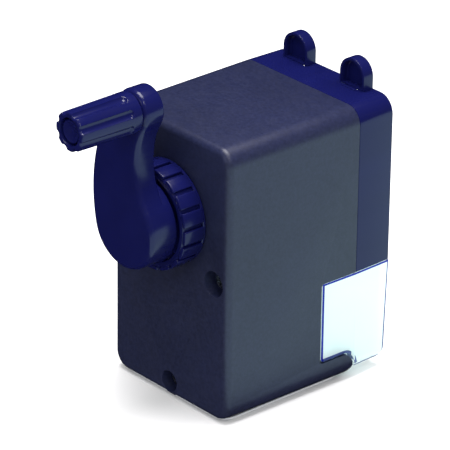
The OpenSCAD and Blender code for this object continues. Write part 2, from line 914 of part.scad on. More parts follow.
module jaw_top() jaw(90);
module jaw_left() jaw(210);
module jaw_right() jaw(330);
module jaw_pad_top() jaw_pad(90);
module jaw_pad_left() jaw_pad(210);
module jaw_pad_right() jaw_pad(330);

// Outline of a tab head above a foot height, drawn in by an inset: a round top on straight sides.
function tab_outline(x, inset, foot_z) =
    concat(arc([x, tab_z], tab_r - inset, 0, 180),
        [[x - tab_r + inset, foot_z], [x + tab_r - inset, foot_z]]);

// A pinch tab: a ring round the chuck, a stem and an arched head with a finger hollow.
module pinch_tab(side, y0) {
    x = side * tab_spacing / 2;
    y1 = y0 + tab_plate_t;
    color("#1d2360")
        difference() {
            union() {
                bar_y(tab_ring_out, y0, y1);
                block([x - tab_stem_w / 2, y0, axis_z + stem_foot],
                    [x + tab_stem_w / 2, y1, tab_foot_z + tab_floor]);
                slab_y(tab_back, tab_front)
                    polygon(tab_outline(x, 0, tab_foot_z));
            }
            bar_y(tab_ring_in, y0 - eps, y1 + eps);
            slab_y(tab_back - eps, tab_back + hollow_d)
                polygon(tab_outline(x, hollow_rim, tab_foot_z + tab_floor));
            for (angle = jaw_angles())
                pin_slot(angle, side, y0 - eps, y1 + eps);
        }
}

// The slanted slot that drives a jaw's pin outwards as the tab ring turns.
module pin_slot(angle, side, y0, y1) {
    start = jaw_pin_at * [cos(angle), sin(angle)];
    stop_angle = angle - side * tab_angle;
    stop = (jaw_pin_at + jaw_stroke) * [cos(stop_angle), sin(stop_angle)];
    path = stop - start;
    translate([start[0], 0, axis_z + start[1]])
        rotate([0, -atan2(path[1], path[0]), 0]) {
            bar_y(slot_half, y0, y1, 0, 0);
            bar_y(slot_half, y0, y1, norm(path), 0);
            block([0, y0, -slot_half], [norm(path), y1, slot_half]);
        }
}

module left_tab() pinch_tab(-1, left_plate_y);
module right_tab() pinch_tab(1, right_plate_y);

module tab_spring() {
    length = tab_spacing - tab_stem_w - 2 * tab_spring_lean;
    color("#b9bdc3")
        translate([-length / 2, (right_plate_y + plate_back) / 2, tab_spring_z])
            rotate([0, 90, 0])
                coil(tab_spring_r - tab_spring_wire_r, tab_spring_wire_r, length, tab_spring_turns);
}

module guide_rods() {
    color("#c4c8ce")
        for (side = [-1, 1])
            bar_y(rod_r, rod_tail, chuck_front - rod_seat, side * rod_x);
}

module rod_collars() {
    color("#777b80")
        for (side = [-1, 1])
            tube_y(rod_collar_r, rod_r, rod_tail + rod_end, rod_tail + rod_end + collar_l,
                side * rod_x);
}

module rod_bushings() {
    color("#e4e4de")
        for (side = [-1, 1])
            tube_y(rod_bush_r, rod_r + run_gap, bulkhead_y - rod_bush_lip, seam_y + rod_bush_lip,
                side * rod_x);
}

module feed_springs() {
    from = rod_tail + rod_end + collar_l + spring_wire_r + spring_play;
    to = bulkhead_y - rod_bush_lip - spring_wire_r - spring_play;
    color("#b9bdc3")
        for (side = [-1, 1])
            translate([side * rod_x, from, axis_z])
                rotate([-90, 0, 0])
                    coil(spring_r, spring_wire_r, to - from, spring_turns);
}

module rear_screws() {
    color("#8f9399") {
        for (side = [-1, 1])
            screw_y(side * screw_x, pad_t + screw_h, face_y + recess_depth,
                recess_floor + post_l - 1, head_r, 2.2, shank_r);
        screw_y(0, pad_t + low_screw_h, face_y + recess_depth,
            recess_floor + low_wall_t, head_r, 2.2, shank_r);
    }
}

module bezel_screws() {
    color("#8f9399")
        for (side = [-1, 1], z = bezel_screw_heights())
            screw_y(side * bezel_screw_x(), z, bulkhead_y, bulkhead_t + 7, small_head_r, 1.4,
                small_shank_r);
}

module carriage_screws() {
    color("#8f9399")
        for (x = post_xs(), z = post_zs())
            screw_y(x, z, chuck_back, chuck_front - chuck_back + 3, small_head_r, 1.4,
                small_shank_r);
}

housing();
front_bezel();
inner_frame();
base_pad();
shavings_drawer();
lock_ring();
shaft_bushing();
crank_shaft();
crank_arm();
handle_pin();
handle_grip();
cutter_carrier();
cutter_axle();
helical_cutter();
cutter_pinion();
axle_clip();
ring_gear();
pencil_guide();
carriage_plate();
jaw_guide();
left_tab();
right_tab();
tab_spring();
jaw_top();
jaw_left();
jaw_right();
jaw_pad_top();
jaw_pad_left();
jaw_pad_right();
guide_rods();
rod_collars();
rod_bushings();
feed_springs();
rear_screws();
bezel_screws();
carriage_screws();
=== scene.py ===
# Looks of the hand-crank desk pencil sharpener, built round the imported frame.
# Metres, +Z up; the crank looks along -Y and the pencil goes in from +Y.
import json
from math import atan2, cos, hypot, pi, radians, sin, sqrt, tau

import bmesh
import bpy
from mathutils import Matrix, Vector


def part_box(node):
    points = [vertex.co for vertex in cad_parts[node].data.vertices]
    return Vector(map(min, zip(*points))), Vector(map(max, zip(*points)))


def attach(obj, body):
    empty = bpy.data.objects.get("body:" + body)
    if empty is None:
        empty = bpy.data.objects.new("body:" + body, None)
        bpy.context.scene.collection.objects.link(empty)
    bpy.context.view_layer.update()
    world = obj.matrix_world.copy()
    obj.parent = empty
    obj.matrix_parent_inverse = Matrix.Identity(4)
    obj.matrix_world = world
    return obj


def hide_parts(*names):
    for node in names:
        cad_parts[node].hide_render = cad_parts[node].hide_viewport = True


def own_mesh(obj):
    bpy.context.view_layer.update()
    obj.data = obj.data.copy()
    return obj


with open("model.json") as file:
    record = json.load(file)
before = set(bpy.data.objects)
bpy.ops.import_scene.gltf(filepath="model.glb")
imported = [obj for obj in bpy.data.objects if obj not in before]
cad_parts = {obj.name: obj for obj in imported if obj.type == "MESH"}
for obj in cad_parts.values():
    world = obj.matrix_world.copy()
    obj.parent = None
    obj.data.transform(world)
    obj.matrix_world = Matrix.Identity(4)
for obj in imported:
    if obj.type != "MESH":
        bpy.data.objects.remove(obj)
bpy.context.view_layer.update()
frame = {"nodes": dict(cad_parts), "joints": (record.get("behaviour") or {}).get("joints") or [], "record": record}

MM = 0.001

# ---------------------------------------------------------------- places, from the frame
LOW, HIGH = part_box("housing")
DRAWER_LOW, DRAWER_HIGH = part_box("shavings_drawer")
PAD_LOW, PAD_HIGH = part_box("base_pad")
RING_LOW, RING_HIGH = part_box("lock_ring")
ARM_LOW, ARM_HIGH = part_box("crank_arm")
GRIP_LOW, GRIP_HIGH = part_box("handle_grip")
PIN_LOW, PIN_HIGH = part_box("handle_pin")
PLATE_LOW, PLATE_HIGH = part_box("carriage_plate")
SHAFT_LOW, SHAFT_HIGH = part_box("crank_shaft")

HALF_W = HIGH.x
FACE_Y = LOW.y
SEAM_Y = HIGH.y
FRONT_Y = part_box("front_bezel")[1].y
BASE_Z = LOW.z
TOP_Z = HIGH.z
AXIS_Z = (SHAFT_LOW.z + SHAFT_HIGH.z) / 2
CORNER_R = 7.2 * MM
WALL = 2.2 * MM
FACE_WALL = 2.6 * MM


# ---------------------------------------------------------------- mesh helpers
def new_object(name, mesh):
    thing = bpy.data.objects.new(name, mesh)
    bpy.context.scene.collection.objects.link(thing)
    return thing


def from_faces(name, verts, faces):
    mesh = bpy.data.meshes.new(name)
    mesh.from_pydata([tuple(v) for v in verts], [], faces)
    mesh.validate()
    return new_object(name, mesh)


def arc(cx, cy, r, a0, a1, steps):
    """Points on a circle from angle a0 to a1, both ends kept."""
    return [(cx + r * cos(a0 + (a1 - a0) * i / steps), cy + r * sin(a0 + (a1 - a0) * i / steps))
            for i in range(steps + 1)]


def rounded_end(end, r, steps, way=1):
    """(y, inset) stations from the side round to the face at y = end, which looks along way."""
    return [(end - way * r * (1 - sin(a)), r * (1 - cos(a)))
            for a in (pi / 2 * i / steps for i in range(steps + 1))]


def round_rect(x0, z0, x1, z1, r, steps=8):
    """A rectangle with round corners as (x, z) points, counter-clockwise from the lower right."""
    radii = r if isinstance(r, (list, tuple)) else [r] * 4
    corners = [(x1, z0, -1, 1, -pi / 2), (x1, z1, -1, -1, 0), (x0, z1, 1, -1, pi / 2), (x0, z0, 1, 1, pi)]
    points = []
    for (cx, cz, sx, sz, start), radius in zip(corners, radii):
        points += arc(cx + sx * radius, cz + sz * radius, radius, start, start + pi / 2, steps)
    return points


def loft(name, rings, close=False, start_cap=True, end_cap=True):
    """A skin over rings of equal count; close joins the last ring to the first."""
    count = len(rings[0])
    verts = [p for ring in rings for p in ring]
    faces = []
    spans = len(rings) if close else len(rings) - 1
    for i in range(spans):
        a, b = i * count, ((i + 1) % len(rings)) * count
        for k in range(count):
            m = (k + 1) % count
            faces.append((a + k, a + m, b + m, b + k))
    if not close and start_cap:
        faces.append(tuple(range(count))[::-1])
    if not close and end_cap:
        faces.append(tuple(range((len(rings) - 1) * count, len(rings) * count)))
    piece = from_faces(name, verts, faces)
    outward(piece)
    return piece


def outward(piece):
    """Merges doubles and points every face outwards."""
    work = bmesh.new()
    work.from_mesh(piece.data)
    bmesh.ops.remove_doubles(work, verts=work.verts, dist=1e-7)
    bmesh.ops.dissolve_degenerate(work, dist=1e-8, edges=work.edges)
    bmesh.ops.recalc_face_normals(work, faces=work.faces)
    work.to_mesh(piece.data)
    work.free()


def turned(name, profile, x=0.0, z=0.0, steps=96, close=False):
    """A body of revolution about a Y axis through (x, z), from (radius, y) points."""
    rings = []
    for r, y in profile:
        r = max(r, 1e-6)
        rings.append([(x + r * cos(tau * k / steps), y, z + r * sin(tau * k / steps)) for k in range(steps)])
    ends = not close
    return loft(name, rings, close=close, start_cap=ends, end_cap=ends)


def round_bar(name, r, y0, y1, x, z, steps=96):
    """A plain round bar along Y."""
    return turned(name, [(0, y0), (r, y0), (r, y1), (0, y1)], x, z, steps)


def prism(name, outline, y0, y1):
    """An (x, z) outline made solid from y0 to y1."""
    return loft(name, [[(x, y, z) for x, z in outline] for y in (y0, y1)])


def prism_x(name, outline, x0, x1):
    """A (y, z) outline made solid from x0 to x1."""
    return loft(name, [[(x, y, z) for y, z in outline] for x in (x0, x1)])


def applied(piece):
    """The piece with its modifiers made into plain mesh."""
    bpy.context.view_layer.update()
    graph = bpy.context.evaluated_depsgraph_get()
    mesh = bpy.data.meshes.new_from_object(piece.evaluated_get(graph))
    piece.modifiers.clear()
    piece.data = mesh
    return piece


def combine(piece, others, operation="DIFFERENCE"):
    """Cuts, joins or intersects the piece with others, which are used up."""
    for other in others:
        step = piece.modifiers.new("combine", "BOOLEAN")
        step.operation = operation
        step.solver = "EXACT"
        step.object = other
        applied(piece)
        bpy.data.objects.remove(other)
    return piece


def soften(piece, width, segments=3, angle=35):
    """Rounds the sharp edges."""
    work = bmesh.new()
    work.from_mesh(piece.data)
    bmesh.ops.remove_doubles(work, verts=work.verts, dist=2e-6)
    bmesh.ops.dissolve_limit(work, angle_limit=radians(0.4), verts=work.verts, edges=work.edges)
    work.to_mesh(piece.data)
    work.free()
    step = piece.modifiers.new("soften", "BEVEL")
    step.width = width
    step.segments = segments
    step.limit_method = "ANGLE"
    step.angle_limit = radians(angle)
    step.harden_normals = False
    step.use_clamp_overlap = True
    return applied(piece)


def smooth(piece, angle=32):
    """Smooth shading that breaks at sharp edges."""
    for face in piece.data.polygons:
        face.use_smooth = True
    piece.data.set_sharp_from_angle(angle=radians(angle))
    return piece


def place(piece, body, finish, material, *nodes):
    """Rides on a body, takes the material, and stands for CAD nodes; the finish argument is not used."""
    piece.data.materials.clear()
    piece.data.materials.append(material)
    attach(piece, body)
    if nodes:
        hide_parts(*nodes)
    return piece


# ---------------------------------------------------------------- housing and front
SIDE_DRAFT = 1.04 * MM      # the grey shell narrows by this much at each side of the crank face
TOP_DRAFT = 0.3 * MM
FRONT_DRAFT = 0.55 * MM     # the bezel narrows by this much at each side of the front
FACE_FILLET = 2.9 * MM
WINDOW_Y = FACE_Y + 47.9 * MM
WINDOW_TOP = DRAWER_HIGH.z + 0.5 * MM
TONGUE_TOP = BASE_Z + 11.0 * MM
TOE_Y = SEAM_Y - 5.7 * MM   # where the tongue's nose starts to curve
TOE_Z = BASE_Z + 4.8 * MM
POST_Y = FACE_Y + 7.5 * MM
RECESSES = [(25.5 * MM, BASE_Z + 57.8 * MM, 5.3 * MM), (-25.5 * MM, BASE_Z + 57.8 * MM, 5.3 * MM),
            (0.0, BASE_Z + 5.9 * MM, 4.4 * MM)]
RECESS_DEPTH = 5.7 * MM
CUP_WALL = 1.6 * MM         # round each recess, inside the shell
HOLE_R = 18.9 * MM
HOLE_DEPTH = 4 * MM
SEAM_LIP = 0.25 * MM        # the small groove where the shell meets the bezel
WINDOW_R = 1.2 * MM


def body_ring(y, inset, steps=10):
    """The outline of the body at depth y, with its draft, drawn in by an inset."""
    if y <= SEAM_Y:
        t = (SEAM_Y - y) / (SEAM_Y - FACE_Y)
        side, top = SIDE_DRAFT * t, TOP_DRAFT * t
    else:
        side, top = FRONT_DRAFT * (y - SEAM_Y) / (FRONT_Y - SEAM_Y), 0.0
    half = HALF_W - side - inset
    outline = round_rect(-half, BASE_Z + inset, half, TOP_Z - top - inset,
                         max(CORNER_R - inset, 0.5 * MM), steps)
    return [(x, y, z) for x, z in outline]


def tongue_nose(gap, steps=10):
    """The curve down the tongue's nose as (y, z) points, grown by a gap."""
    reach, rise = SEAM_Y - 0.2 * MM - TOE_Y + gap, TONGUE_TOP - TOE_Z + gap
    return [(TOE_Y + reach * sin(a), TOE_Z + rise * cos(a))
            for a in (pi / 2 * i / steps for i in range(steps + 1))]


def make_housing():
    outer = [body_ring(SEAM_Y, SEAM_LIP), body_ring(SEAM_Y - SEAM_LIP, 0)]
    outer += [body_ring(y, inset) for y, inset in rounded_end(FACE_Y, FACE_FILLET, 8, -1)]
    shell = loft("housing_shell", outer)
    hollow = loft("hollow", [body_ring(SEAM_Y + MM, WALL), body_ring(FACE_Y + FACE_WALL, WALL)])
    combine(shell, [hollow])
    cups = [round_bar("cup", r + CUP_WALL, FACE_Y + MM, POST_Y, x, z, 48) for x, z, r in RECESSES]
    for cup in cups:
        keep = loft("keep", [body_ring(SEAM_Y - MM, 0.3 * MM), body_ring(FACE_Y + 0.5 * MM, 0.3 * MM)])
        combine(cup, [keep], "INTERSECT")
    combine(shell, cups, "UNION")
    nose = tongue_nose(0)
    toe = [nose[-1], (nose[-1][0] - 0.5 * MM, TOE_Z - 1.2 * MM), (TOE_Y + 1.6 * MM, BASE_Z - MM)]
    r = WINDOW_R
    window = arc(WINDOW_Y + r, WINDOW_TOP - r, r, pi, pi / 2, 5)
    window += [(SEAM_Y + 2 * MM, WINDOW_TOP), (SEAM_Y + 2 * MM, BASE_Z - MM)]
    window += toe[::-1] + nose[::-1][1:]
    window += arc(WINDOW_Y + r, TONGUE_TOP + r, r, -pi / 2, -pi, 5)
    cutters = [prism_x("window", window, -HALF_W - MM, HALF_W + MM)]
    cutters.append(round_bar("lock_hole", HOLE_R, FACE_Y - MM, FACE_Y + HOLE_DEPTH, 0, AXIS_Z))
    cutters += [round_bar("recess", r, FACE_Y - MM, FACE_Y + RECESS_DEPTH, x, z, 64) for x, z, r in RECESSES]
    combine(shell, cutters)
    soften(shell, 0.35 * MM, 3)
    return smooth(shell)


OPEN_W = PLATE_HIGH.x + 0.5 * MM
OPEN_LOW, OPEN_HIGH = PLATE_LOW.z - 0.5 * MM, PLATE_HIGH.z + 0.5 * MM
TAB_X = 16.4 * MM
NOTCH_OUT, NOTCH_IN = 3.6 * MM, 6.0 * MM
NOTCH_BACK = FRONT_Y - 5.86 * MM
BEZEL_EDGE, BEZEL_FOOT_R = 0.5 * MM, 0.2 * MM
BEZEL_FOOT_EASE = 0.1 * MM
FLARE = 0.6 * MM            # the opening widens by this much at the front


def make_bezel():
    rings = []
    stations = [(SEAM_Y, SEAM_LIP), (SEAM_Y + SEAM_LIP, 0)] + rounded_end(FRONT_Y, BEZEL_EDGE, 6)
    for y, inset in stations:
        half = HALF_W - FRONT_DRAFT * (y - SEAM_Y) / (FRONT_Y - SEAM_Y) - inset
        top_r = CORNER_R - inset
        outline = round_rect(-half, WINDOW_TOP + min(inset, BEZEL_FOOT_EASE), half, TOP_Z - inset,
                             [BEZEL_FOOT_R, top_r, top_r, BEZEL_FOOT_R], 10)
        rings.append([(x, y, z) for x, z in outline])
    bezel = loft("front_bezel_shell", rings)
    opening = []
    for y, out in ((SEAM_Y - MM, 0), (FRONT_Y - FLARE, 0), (FRONT_Y + 0.2 * MM, FLARE * 1.4)):
        outline = round_rect(-OPEN_W - out, OPEN_LOW - out, OPEN_W + out, OPEN_HIGH + out, 4 * MM, 8)
        opening.append([(x, y, z) for x, z in outline])
    cutters = [loft("opening", opening)]
    for side in (-1, 1):
        x0, x1 = sorted((side * (TAB_X + NOTCH_OUT), side * (TAB_X - NOTCH_IN)))
        outline = round_rect(x0, OPEN_HIGH - 2 * MM, x1, TOP_Z + 2 * MM, 0.5 * MM, 3)
        cutters.append(prism("notch", outline, NOTCH_BACK, FRONT_Y + 2 * MM))
    combine(bezel, cutters)
    soften(bezel, 0.2 * MM, 3)
    return smooth(bezel)


# ---------------------------------------------------------------- drawer
DRAWER_TOP = WINDOW_TOP - 0.1 * MM
BAND_X = HALF_W - 0.02 * MM
FRONT_LEAN = 1.4 * MM       # the drawer's front edge leans back by this much at its foot
DRAWER_WALL = 2 * MM
CHEEK_R = 4 * MM            # the lower front corner
CHEEK_FLOOR = BASE_Z + 4.4 * MM
TONGUE_GAP = 0.9 * MM
BAND_THICK = 1.2 * MM
BIN_GAP = 0.4 * MM          # between the drawer's inner part and the shell
BIN_R = 4.6 * MM
LIP_DEPTH, LIP_HIGH = 2.48 * MM, 1.65 * MM


def cheek_side(inset):
    """The cheek's side view as (y, z) points, with its hook over the tongue."""
    gap = TONGUE_GAP + inset
    rear = WINDOW_Y + 0.4 * MM + inset
    front, front_foot = FRONT_Y - 0.05 * MM - inset, FRONT_Y - FRONT_LEAN - inset
    floor = CHEEK_FLOOR + inset
    top = DRAWER_TOP + (MM if inset else 0)
    r = max(CHEEK_R - inset, 0.5 * MM)
    corner = max(WINDOW_R - inset, 0.2 * MM)
    nose = [p for p in tongue_nose(gap, 14) if p[1] > floor + 0.1 * MM]
    points = arc(front_foot - r, floor + r, r, -pi / 2, 0, 8) + [(front, top), (rear, top)]
    points += arc(rear + corner, TONGUE_TOP + gap + corner, corner, pi, 3 * pi / 2, 4)
    points += nose[1:] + [(nose[-1][0], floor)]
    return points


def drawer_solid(inset):
    cheek = loft("cheek", [body_ring(y, inset) for y in (FACE_Y + 30 * MM, SEAM_Y, FRONT_Y)])
    side = prism_x("side", cheek_side(inset), -HALF_W - MM, HALF_W + MM)
    combine(cheek, [side], "INTERSECT")
    return cheek


def drawer_bin(inset):
    half = HALF_W - WALL - BIN_GAP - SIDE_DRAFT * 0.9 - inset
    floor = BASE_Z + WALL + BIN_GAP + inset
    top = DRAWER_TOP + (MM if inset else 0)
    low_r, top_r = BIN_R - inset, 0.2 * MM
    outline = round_rect(-half, floor, half, top, [low_r, top_r, top_r, low_r], 8)
    return prism("bin", outline, DRAWER_LOW.y + inset, SEAM_Y + 2 * MM + 2 * inset)


def hook_band():
    """The thick edge over the tongue as (y, z) points."""
    near, far = TONGUE_GAP, TONGUE_GAP + BAND_THICK
    start = WINDOW_Y + 1.5 * MM
    inner, outer = ([p for p in tongue_nose(gap, 14) if p[1] > CHEEK_FLOOR + MM] for gap in (near, far))
    return [(start, TONGUE_TOP + near)] + inner + outer[::-1] + [(start, TONGUE_TOP + far)]


def make_drawer():
    drawer = drawer_solid(0)
    drawer.name = "clear_drawer"
    combine(drawer, [drawer_bin(0)], "UNION")
    combine(drawer, [drawer_solid(DRAWER_WALL), drawer_bin(DRAWER_WALL)])
    half = HALF_W - FRONT_DRAFT - 1.2 * MM
    front, top = FRONT_Y - 0.02 * MM, DRAWER_TOP - 0.05 * MM
    lip = round_rect(front - LIP_DEPTH, top - LIP_HIGH, front, top, 0.4 * MM, 4)
    combine(drawer, [prism_x("lip", lip, -half, half)], "UNION")
    soften(drawer, 0.4 * MM, 3)
    for side in (-1, 1):
        x0, x1 = sorted((side * (HALF_W - 1.6 * MM), side * BAND_X))
        combine(drawer, [prism_x("hook_band", hook_band(), x0, x1)], "UNION")
    return smooth(drawer)


# ---------------------------------------------------------------- crank and handle
CRANK_Y = ARM_LOW.y
HUB_BACK = ARM_HIGH.y
HUB_R = -ARM_LOW.z + AXIS_Z
KNOB_X = (PIN_LOW.x + PIN_HIGH.x) / 2
KNOB_Z = (PIN_LOW.z + PIN_HIGH.z) / 2
KNOB_R = ARM_HIGH.z - KNOB_Z
ARM_T = 9.4 * MM
BULGE_R, HOLLOW_R = 66 * MM, 30.5 * MM
ARM_FRONT_R, ARM_BACK_R = 2.4 * MM, 0.8 * MM
BORE_R, PIN_BORE_R = 4 * MM, 3 * MM


def touching(a, b, da, db):
    """The point at da from a and db from b, to the right of the way from a to b."""
    a, b = Vector(a), Vector(b)
    gap = (b - a).length
    along = (da * da + gap * gap - db * db) / (2 * gap)
    way = (b - a) / gap
    return a + way * along + Vector((way.y, -way.x)) * sqrt(da * da - along * along)


def heading(a, b):
    return atan2(b[1] - a[1], b[0] - a[0]) % tau


def arm_outline(inset):
    """The arm: round the hub, up the hollow edge, round the collar and down the bulge."""
    hub, knob = (0.0, AXIS_Z), (KNOB_X, KNOB_Z)
    bulge = touching(hub, knob, BULGE_R - HUB_R, BULGE_R - KNOB_R)
    hollow = touching(hub, knob, HOLLOW_R + HUB_R, HOLLOW_R + KNOB_R)
    points = arc(*hub, HUB_R - inset, heading(bulge, hub), heading(hub, hollow) + tau, 72)
    points += arc(*hollow, HOLLOW_R + inset, heading(hollow, hub), heading(hollow, knob), 30)[1:]
    points += arc(*knob, KNOB_R - inset, heading(knob, hollow) - tau, heading(bulge, knob), 48)[1:]
    points += arc(*bulge, BULGE_R - inset, heading(bulge, knob), heading(bulge, hub), 30)[1:-1]
    return points


def make_crank():
    stations = rounded_end(CRANK_Y, ARM_FRONT_R, 8, -1)[::-1]
    stations += rounded_end(CRANK_Y + ARM_T, ARM_BACK_R, 4)
    arm = loft("crank_lever", [[(x, y, z) for x, z in arm_outline(inset)] for y, inset in stations])
    r, front = HUB_R - 0.02 * MM, CRANK_Y + 4 * MM
    profile = [(0, front), (r, front), (r, HUB_BACK - MM), (r - 0.3 * MM, HUB_BACK - 0.3 * MM),
               (r - MM, HUB_BACK), (0, HUB_BACK)]
    combine(arm, [turned("hub", profile, 0, AXIS_Z, 144)], "UNION")
    bore = round_bar("bore", BORE_R, SHAFT_LOW.y, HUB_BACK + MM, 0, AXIS_Z, 48)
    pin_bore = round_bar("pin_bore", PIN_BORE_R, CRANK_Y - MM, PIN_HIGH.y, KNOB_X, KNOB_Z, 48)
    combine(arm, [bore, pin_bore])
    return smooth(arm, 28)


GRIP_R, GRIP_TIP_R = GRIP_HIGH.x - KNOB_X, GRIP_HIGH.x - KNOB_X - 0.4 * MM
FLUTES = 8
FLUTE_HALF = 1.75 * MM
FLUTE_DEPTH = 0.95 * MM
FLUTE_LAND = 4 * MM
GRIP_RECESS_R, GRIP_RECESS = 5.4 * MM, 5 * MM
GRIP_TIP, GRIP_FOOT = 0.9 * MM, 0.7 * MM


def flute_dip(across, past_end):
    """How far the surface dips at a distance from a flute's middle line."""
    t = min(1.0, hypot(across, max(0.0, past_end)) / FLUTE_HALF)
    return FLUTE_DEPTH * (1 - t * t) ** 0.75


def make_grip():
    around, length = FLUTES * 26, GRIP_HIGH.y - GRIP_LOW.y
    last = GRIP_HIGH.y - FLUTE_LAND - FLUTE_HALF
    start = GRIP_LOW.y + GRIP_TIP
    stations = rounded_end(GRIP_LOW.y, GRIP_TIP, 6, -1)[::-1]
    stations += [(start + (last - start) * i / 6, 0) for i in range(1, 7)]
    stations += [(last + 2.2 * MM * i / 10, 0) for i in range(1, 11)]
    stations += rounded_end(GRIP_HIGH.y, GRIP_FOOT, 5)

    def ring(y, inset, fluted=True, fixed=None):
        t = (y - GRIP_LOW.y) / length
        points = []
        for k in range(around):
            a = tau * k / around
            r = fixed if fixed is not None else GRIP_TIP_R + (GRIP_R - GRIP_TIP_R) * t - inset
            if fluted and fixed is None:
                off = ((a / tau * FLUTES) % 1) - 0.5
                r -= flute_dip(abs(off) * tau * GRIP_R / FLUTES, y - last)
            points.append((KNOB_X + r * cos(a), y, KNOB_Z + r * sin(a)))
        return points
    rings = [ring(y, inset) for y, inset in stations]
    floor = GRIP_LOW.y + GRIP_RECESS
    inner = [(GRIP_HIGH.y, PIN_R + 0.3 * MM), (GRIP_HIGH.y - 0.3 * MM, PIN_R), (floor, PIN_R),
             (floor, GRIP_RECESS_R - 0.8 * MM), (floor - 0.8 * MM, GRIP_RECESS_R),
             (GRIP_LOW.y + 0.7 * MM, GRIP_RECESS_R), (GRIP_LOW.y + 0.2 * MM, GRIP_RECESS_R + 0.2 * MM),
             (GRIP_LOW.y, GRIP_RECESS_R + 0.6 * MM)]
    rings += [ring(y, 0, False, r) for y, r in inner]
    return smooth(loft("fluted_grip", rings, close=True), 40)


PIN_R = 3.08 * MM
PIN_HEAD_R = PIN_HIGH.x - KNOB_X


def make_pin():
    y0, r, head = GRIP_LOW.y + 0.7 * MM, PIN_R - 0.08 * MM, PIN_HEAD_R
    dish, rim = 1.1 * MM, head - 0.7 * MM
    profile = [(rim * i / 10, y0 + dish * (1 - (i / 10) ** 2)) for i in range(11)]
    seat, end = PIN_LOW.y + 1.6 * MM, PIN_HIGH.y
    profile += [(head - 0.2 * MM, y0 + 0.1 * MM), (head, y0 + 0.4 * MM), (head, seat), (r, seat),
                (r, end - 0.4 * MM), (r - 0.4 * MM, end), (0, end)]
    return smooth(turned("grip_pin", profile, KNOB_X, KNOB_Z, 64), 30)


# ---------------------------------------------------------------- geometry nodes
def new_tree(name, inputs):
    """A geometry tree with named inputs; returns the tree, its input and its output node."""
    tree = bpy.data.node_groups.new(name, "GeometryNodeTree")
    tree.interface.new_socket("Geometry", in_out="INPUT", socket_type="NodeSocketGeometry")
    for label, kind, value in inputs:
        socket = tree.interface.new_socket(label, in_out="INPUT", socket_type="NodeSocket" + kind)
        if value is not None:
            socket.default_value = value
    tree.interface.new_socket("Geometry", in_out="OUTPUT", socket_type="NodeSocketGeometry")
    return tree, tree.nodes.new("NodeGroupInput"), tree.nodes.new("NodeGroupOutput")


def math_node(tree, operation, a, b):
    node = tree.nodes.new("ShaderNodeMath")
    node.operation = operation
    for slot, value in enumerate((a, b)):
        if isinstance(value, (int, float)):
            node.inputs[slot].default_value = value
        else:
            tree.links.new(value, node.inputs[slot])
    return node.outputs[0]


def finish_tree(tree, geometry, output, finish):
    """Ends a tree in Realize Instances and Set Material."""
    real = tree.nodes.new("GeometryNodeRealizeInstances")
    dress = tree.nodes.new("GeometryNodeSetMaterial")
    tree.links.new(geometry, real.inputs["Geometry"])
    tree.links.new(real.outputs[0], dress.inputs["Geometry"])
    tree.links.new(finish.outputs["Material"], dress.inputs["Material"])
    tree.links.new(dress.outputs[0], output.inputs[0])


def grow(piece, tree, values):
    """Runs a tree on the piece with the given inputs and keeps the plain mesh."""
    step = piece.modifiers.new(tree.name, "NODES")
    step.node_group = tree
    for item in tree.interface.items_tree:
        if item.in_out == "INPUT" and item.name in values:
            step[item.identifier] = values[item.name]
    return applied(piece)


def ring_tree():
    """Copies of the incoming mesh round the Y axis through the origin."""
    tree, source, output = new_tree("blocks_round_axis", [
        ("Count", "Int", 12), ("Start", "Float", 0.0), ("Material", "Material", None)])
    points = tree.nodes.new("GeometryNodePoints")
    place_on = tree.nodes.new("GeometryNodeInstanceOnPoints")
    index = tree.nodes.new("GeometryNodeInputIndex")
    turn = tree.nodes.new("ShaderNodeCombineXYZ")
    step = math_node(tree, "DIVIDE", -tau, source.outputs["Count"])
    spin = math_node(tree, "MULTIPLY", index.outputs[0], step)
    tree.links.new(math_node(tree, "SUBTRACT", spin, source.outputs["Start"]), turn.inputs["Y"])
    tree.links.new(source.outputs["Count"], points.inputs["Count"])
    tree.links.new(points.outputs[0], place_on.inputs["Points"])
    tree.links.new(source.outputs["Geometry"], place_on.inputs["Instance"])
    tree.links.new(turn.outputs[0], place_on.inputs["Rotation"])
    finish_tree(tree, place_on.outputs[0], output, source)
    return tree


def places_tree():
    """One copy of a pattern object at each point of the incoming mesh."""
    tree, source, output = new_tree("fasteners_at_places", [
        ("Pattern", "Object", None), ("Material", "Material", None)])
    info = tree.nodes.new("GeometryNodeObjectInfo")
    place_on = tree.nodes.new("GeometryNodeInstanceOnPoints")
    tree.links.new(source.outputs["Pattern"], info.inputs["Object"])
    tree.links.new(source.outputs["Geometry"], place_on.inputs["Points"])
    tree.links.new(info.outputs["Geometry"], place_on.inputs["Instance"])
    finish_tree(tree, place_on.outputs[0], output, source)
    return tree


def coil_tree():
    """A round wire coil along Z, as long as its length input."""
    tree, source, output = new_tree("wire_coil", [
        ("Turns", "Float", 10.0), ("Coil Radius", "Float", MM), ("Length", "Float", MM),
        ("Wire Radius", "Float", MM), ("Material", "Material", None)])
    spiral = tree.nodes.new("GeometryNodeCurveSpiral")
    spiral.inputs["Resolution"].default_value = 28
    wire = tree.nodes.new("GeometryNodeCurvePrimitiveCircle")
    wire.inputs["Resolution"].default_value = 10
    sweep = tree.nodes.new("GeometryNodeCurveToMesh")
    sweep.inputs["Fill Caps"].default_value = True
    links = [("Turns", spiral, "Rotations"), ("Length", spiral, "Height"),
             ("Coil Radius", spiral, "Start Radius"), ("Coil Radius", spiral, "End Radius"),
             ("Wire Radius", wire, "Radius")]
    for label, node, socket in links:
        tree.links.new(source.outputs[label], node.inputs[socket])
    tree.links.new(spiral.outputs[0], sweep.inputs["Curve"])
    tree.links.new(wire.outputs[0], sweep.inputs["Profile Curve"])
    finish_tree(tree, sweep.outputs[0], output, source)
    return tree


def moved(piece, matrix):
    piece.data.transform(matrix)
    return piece


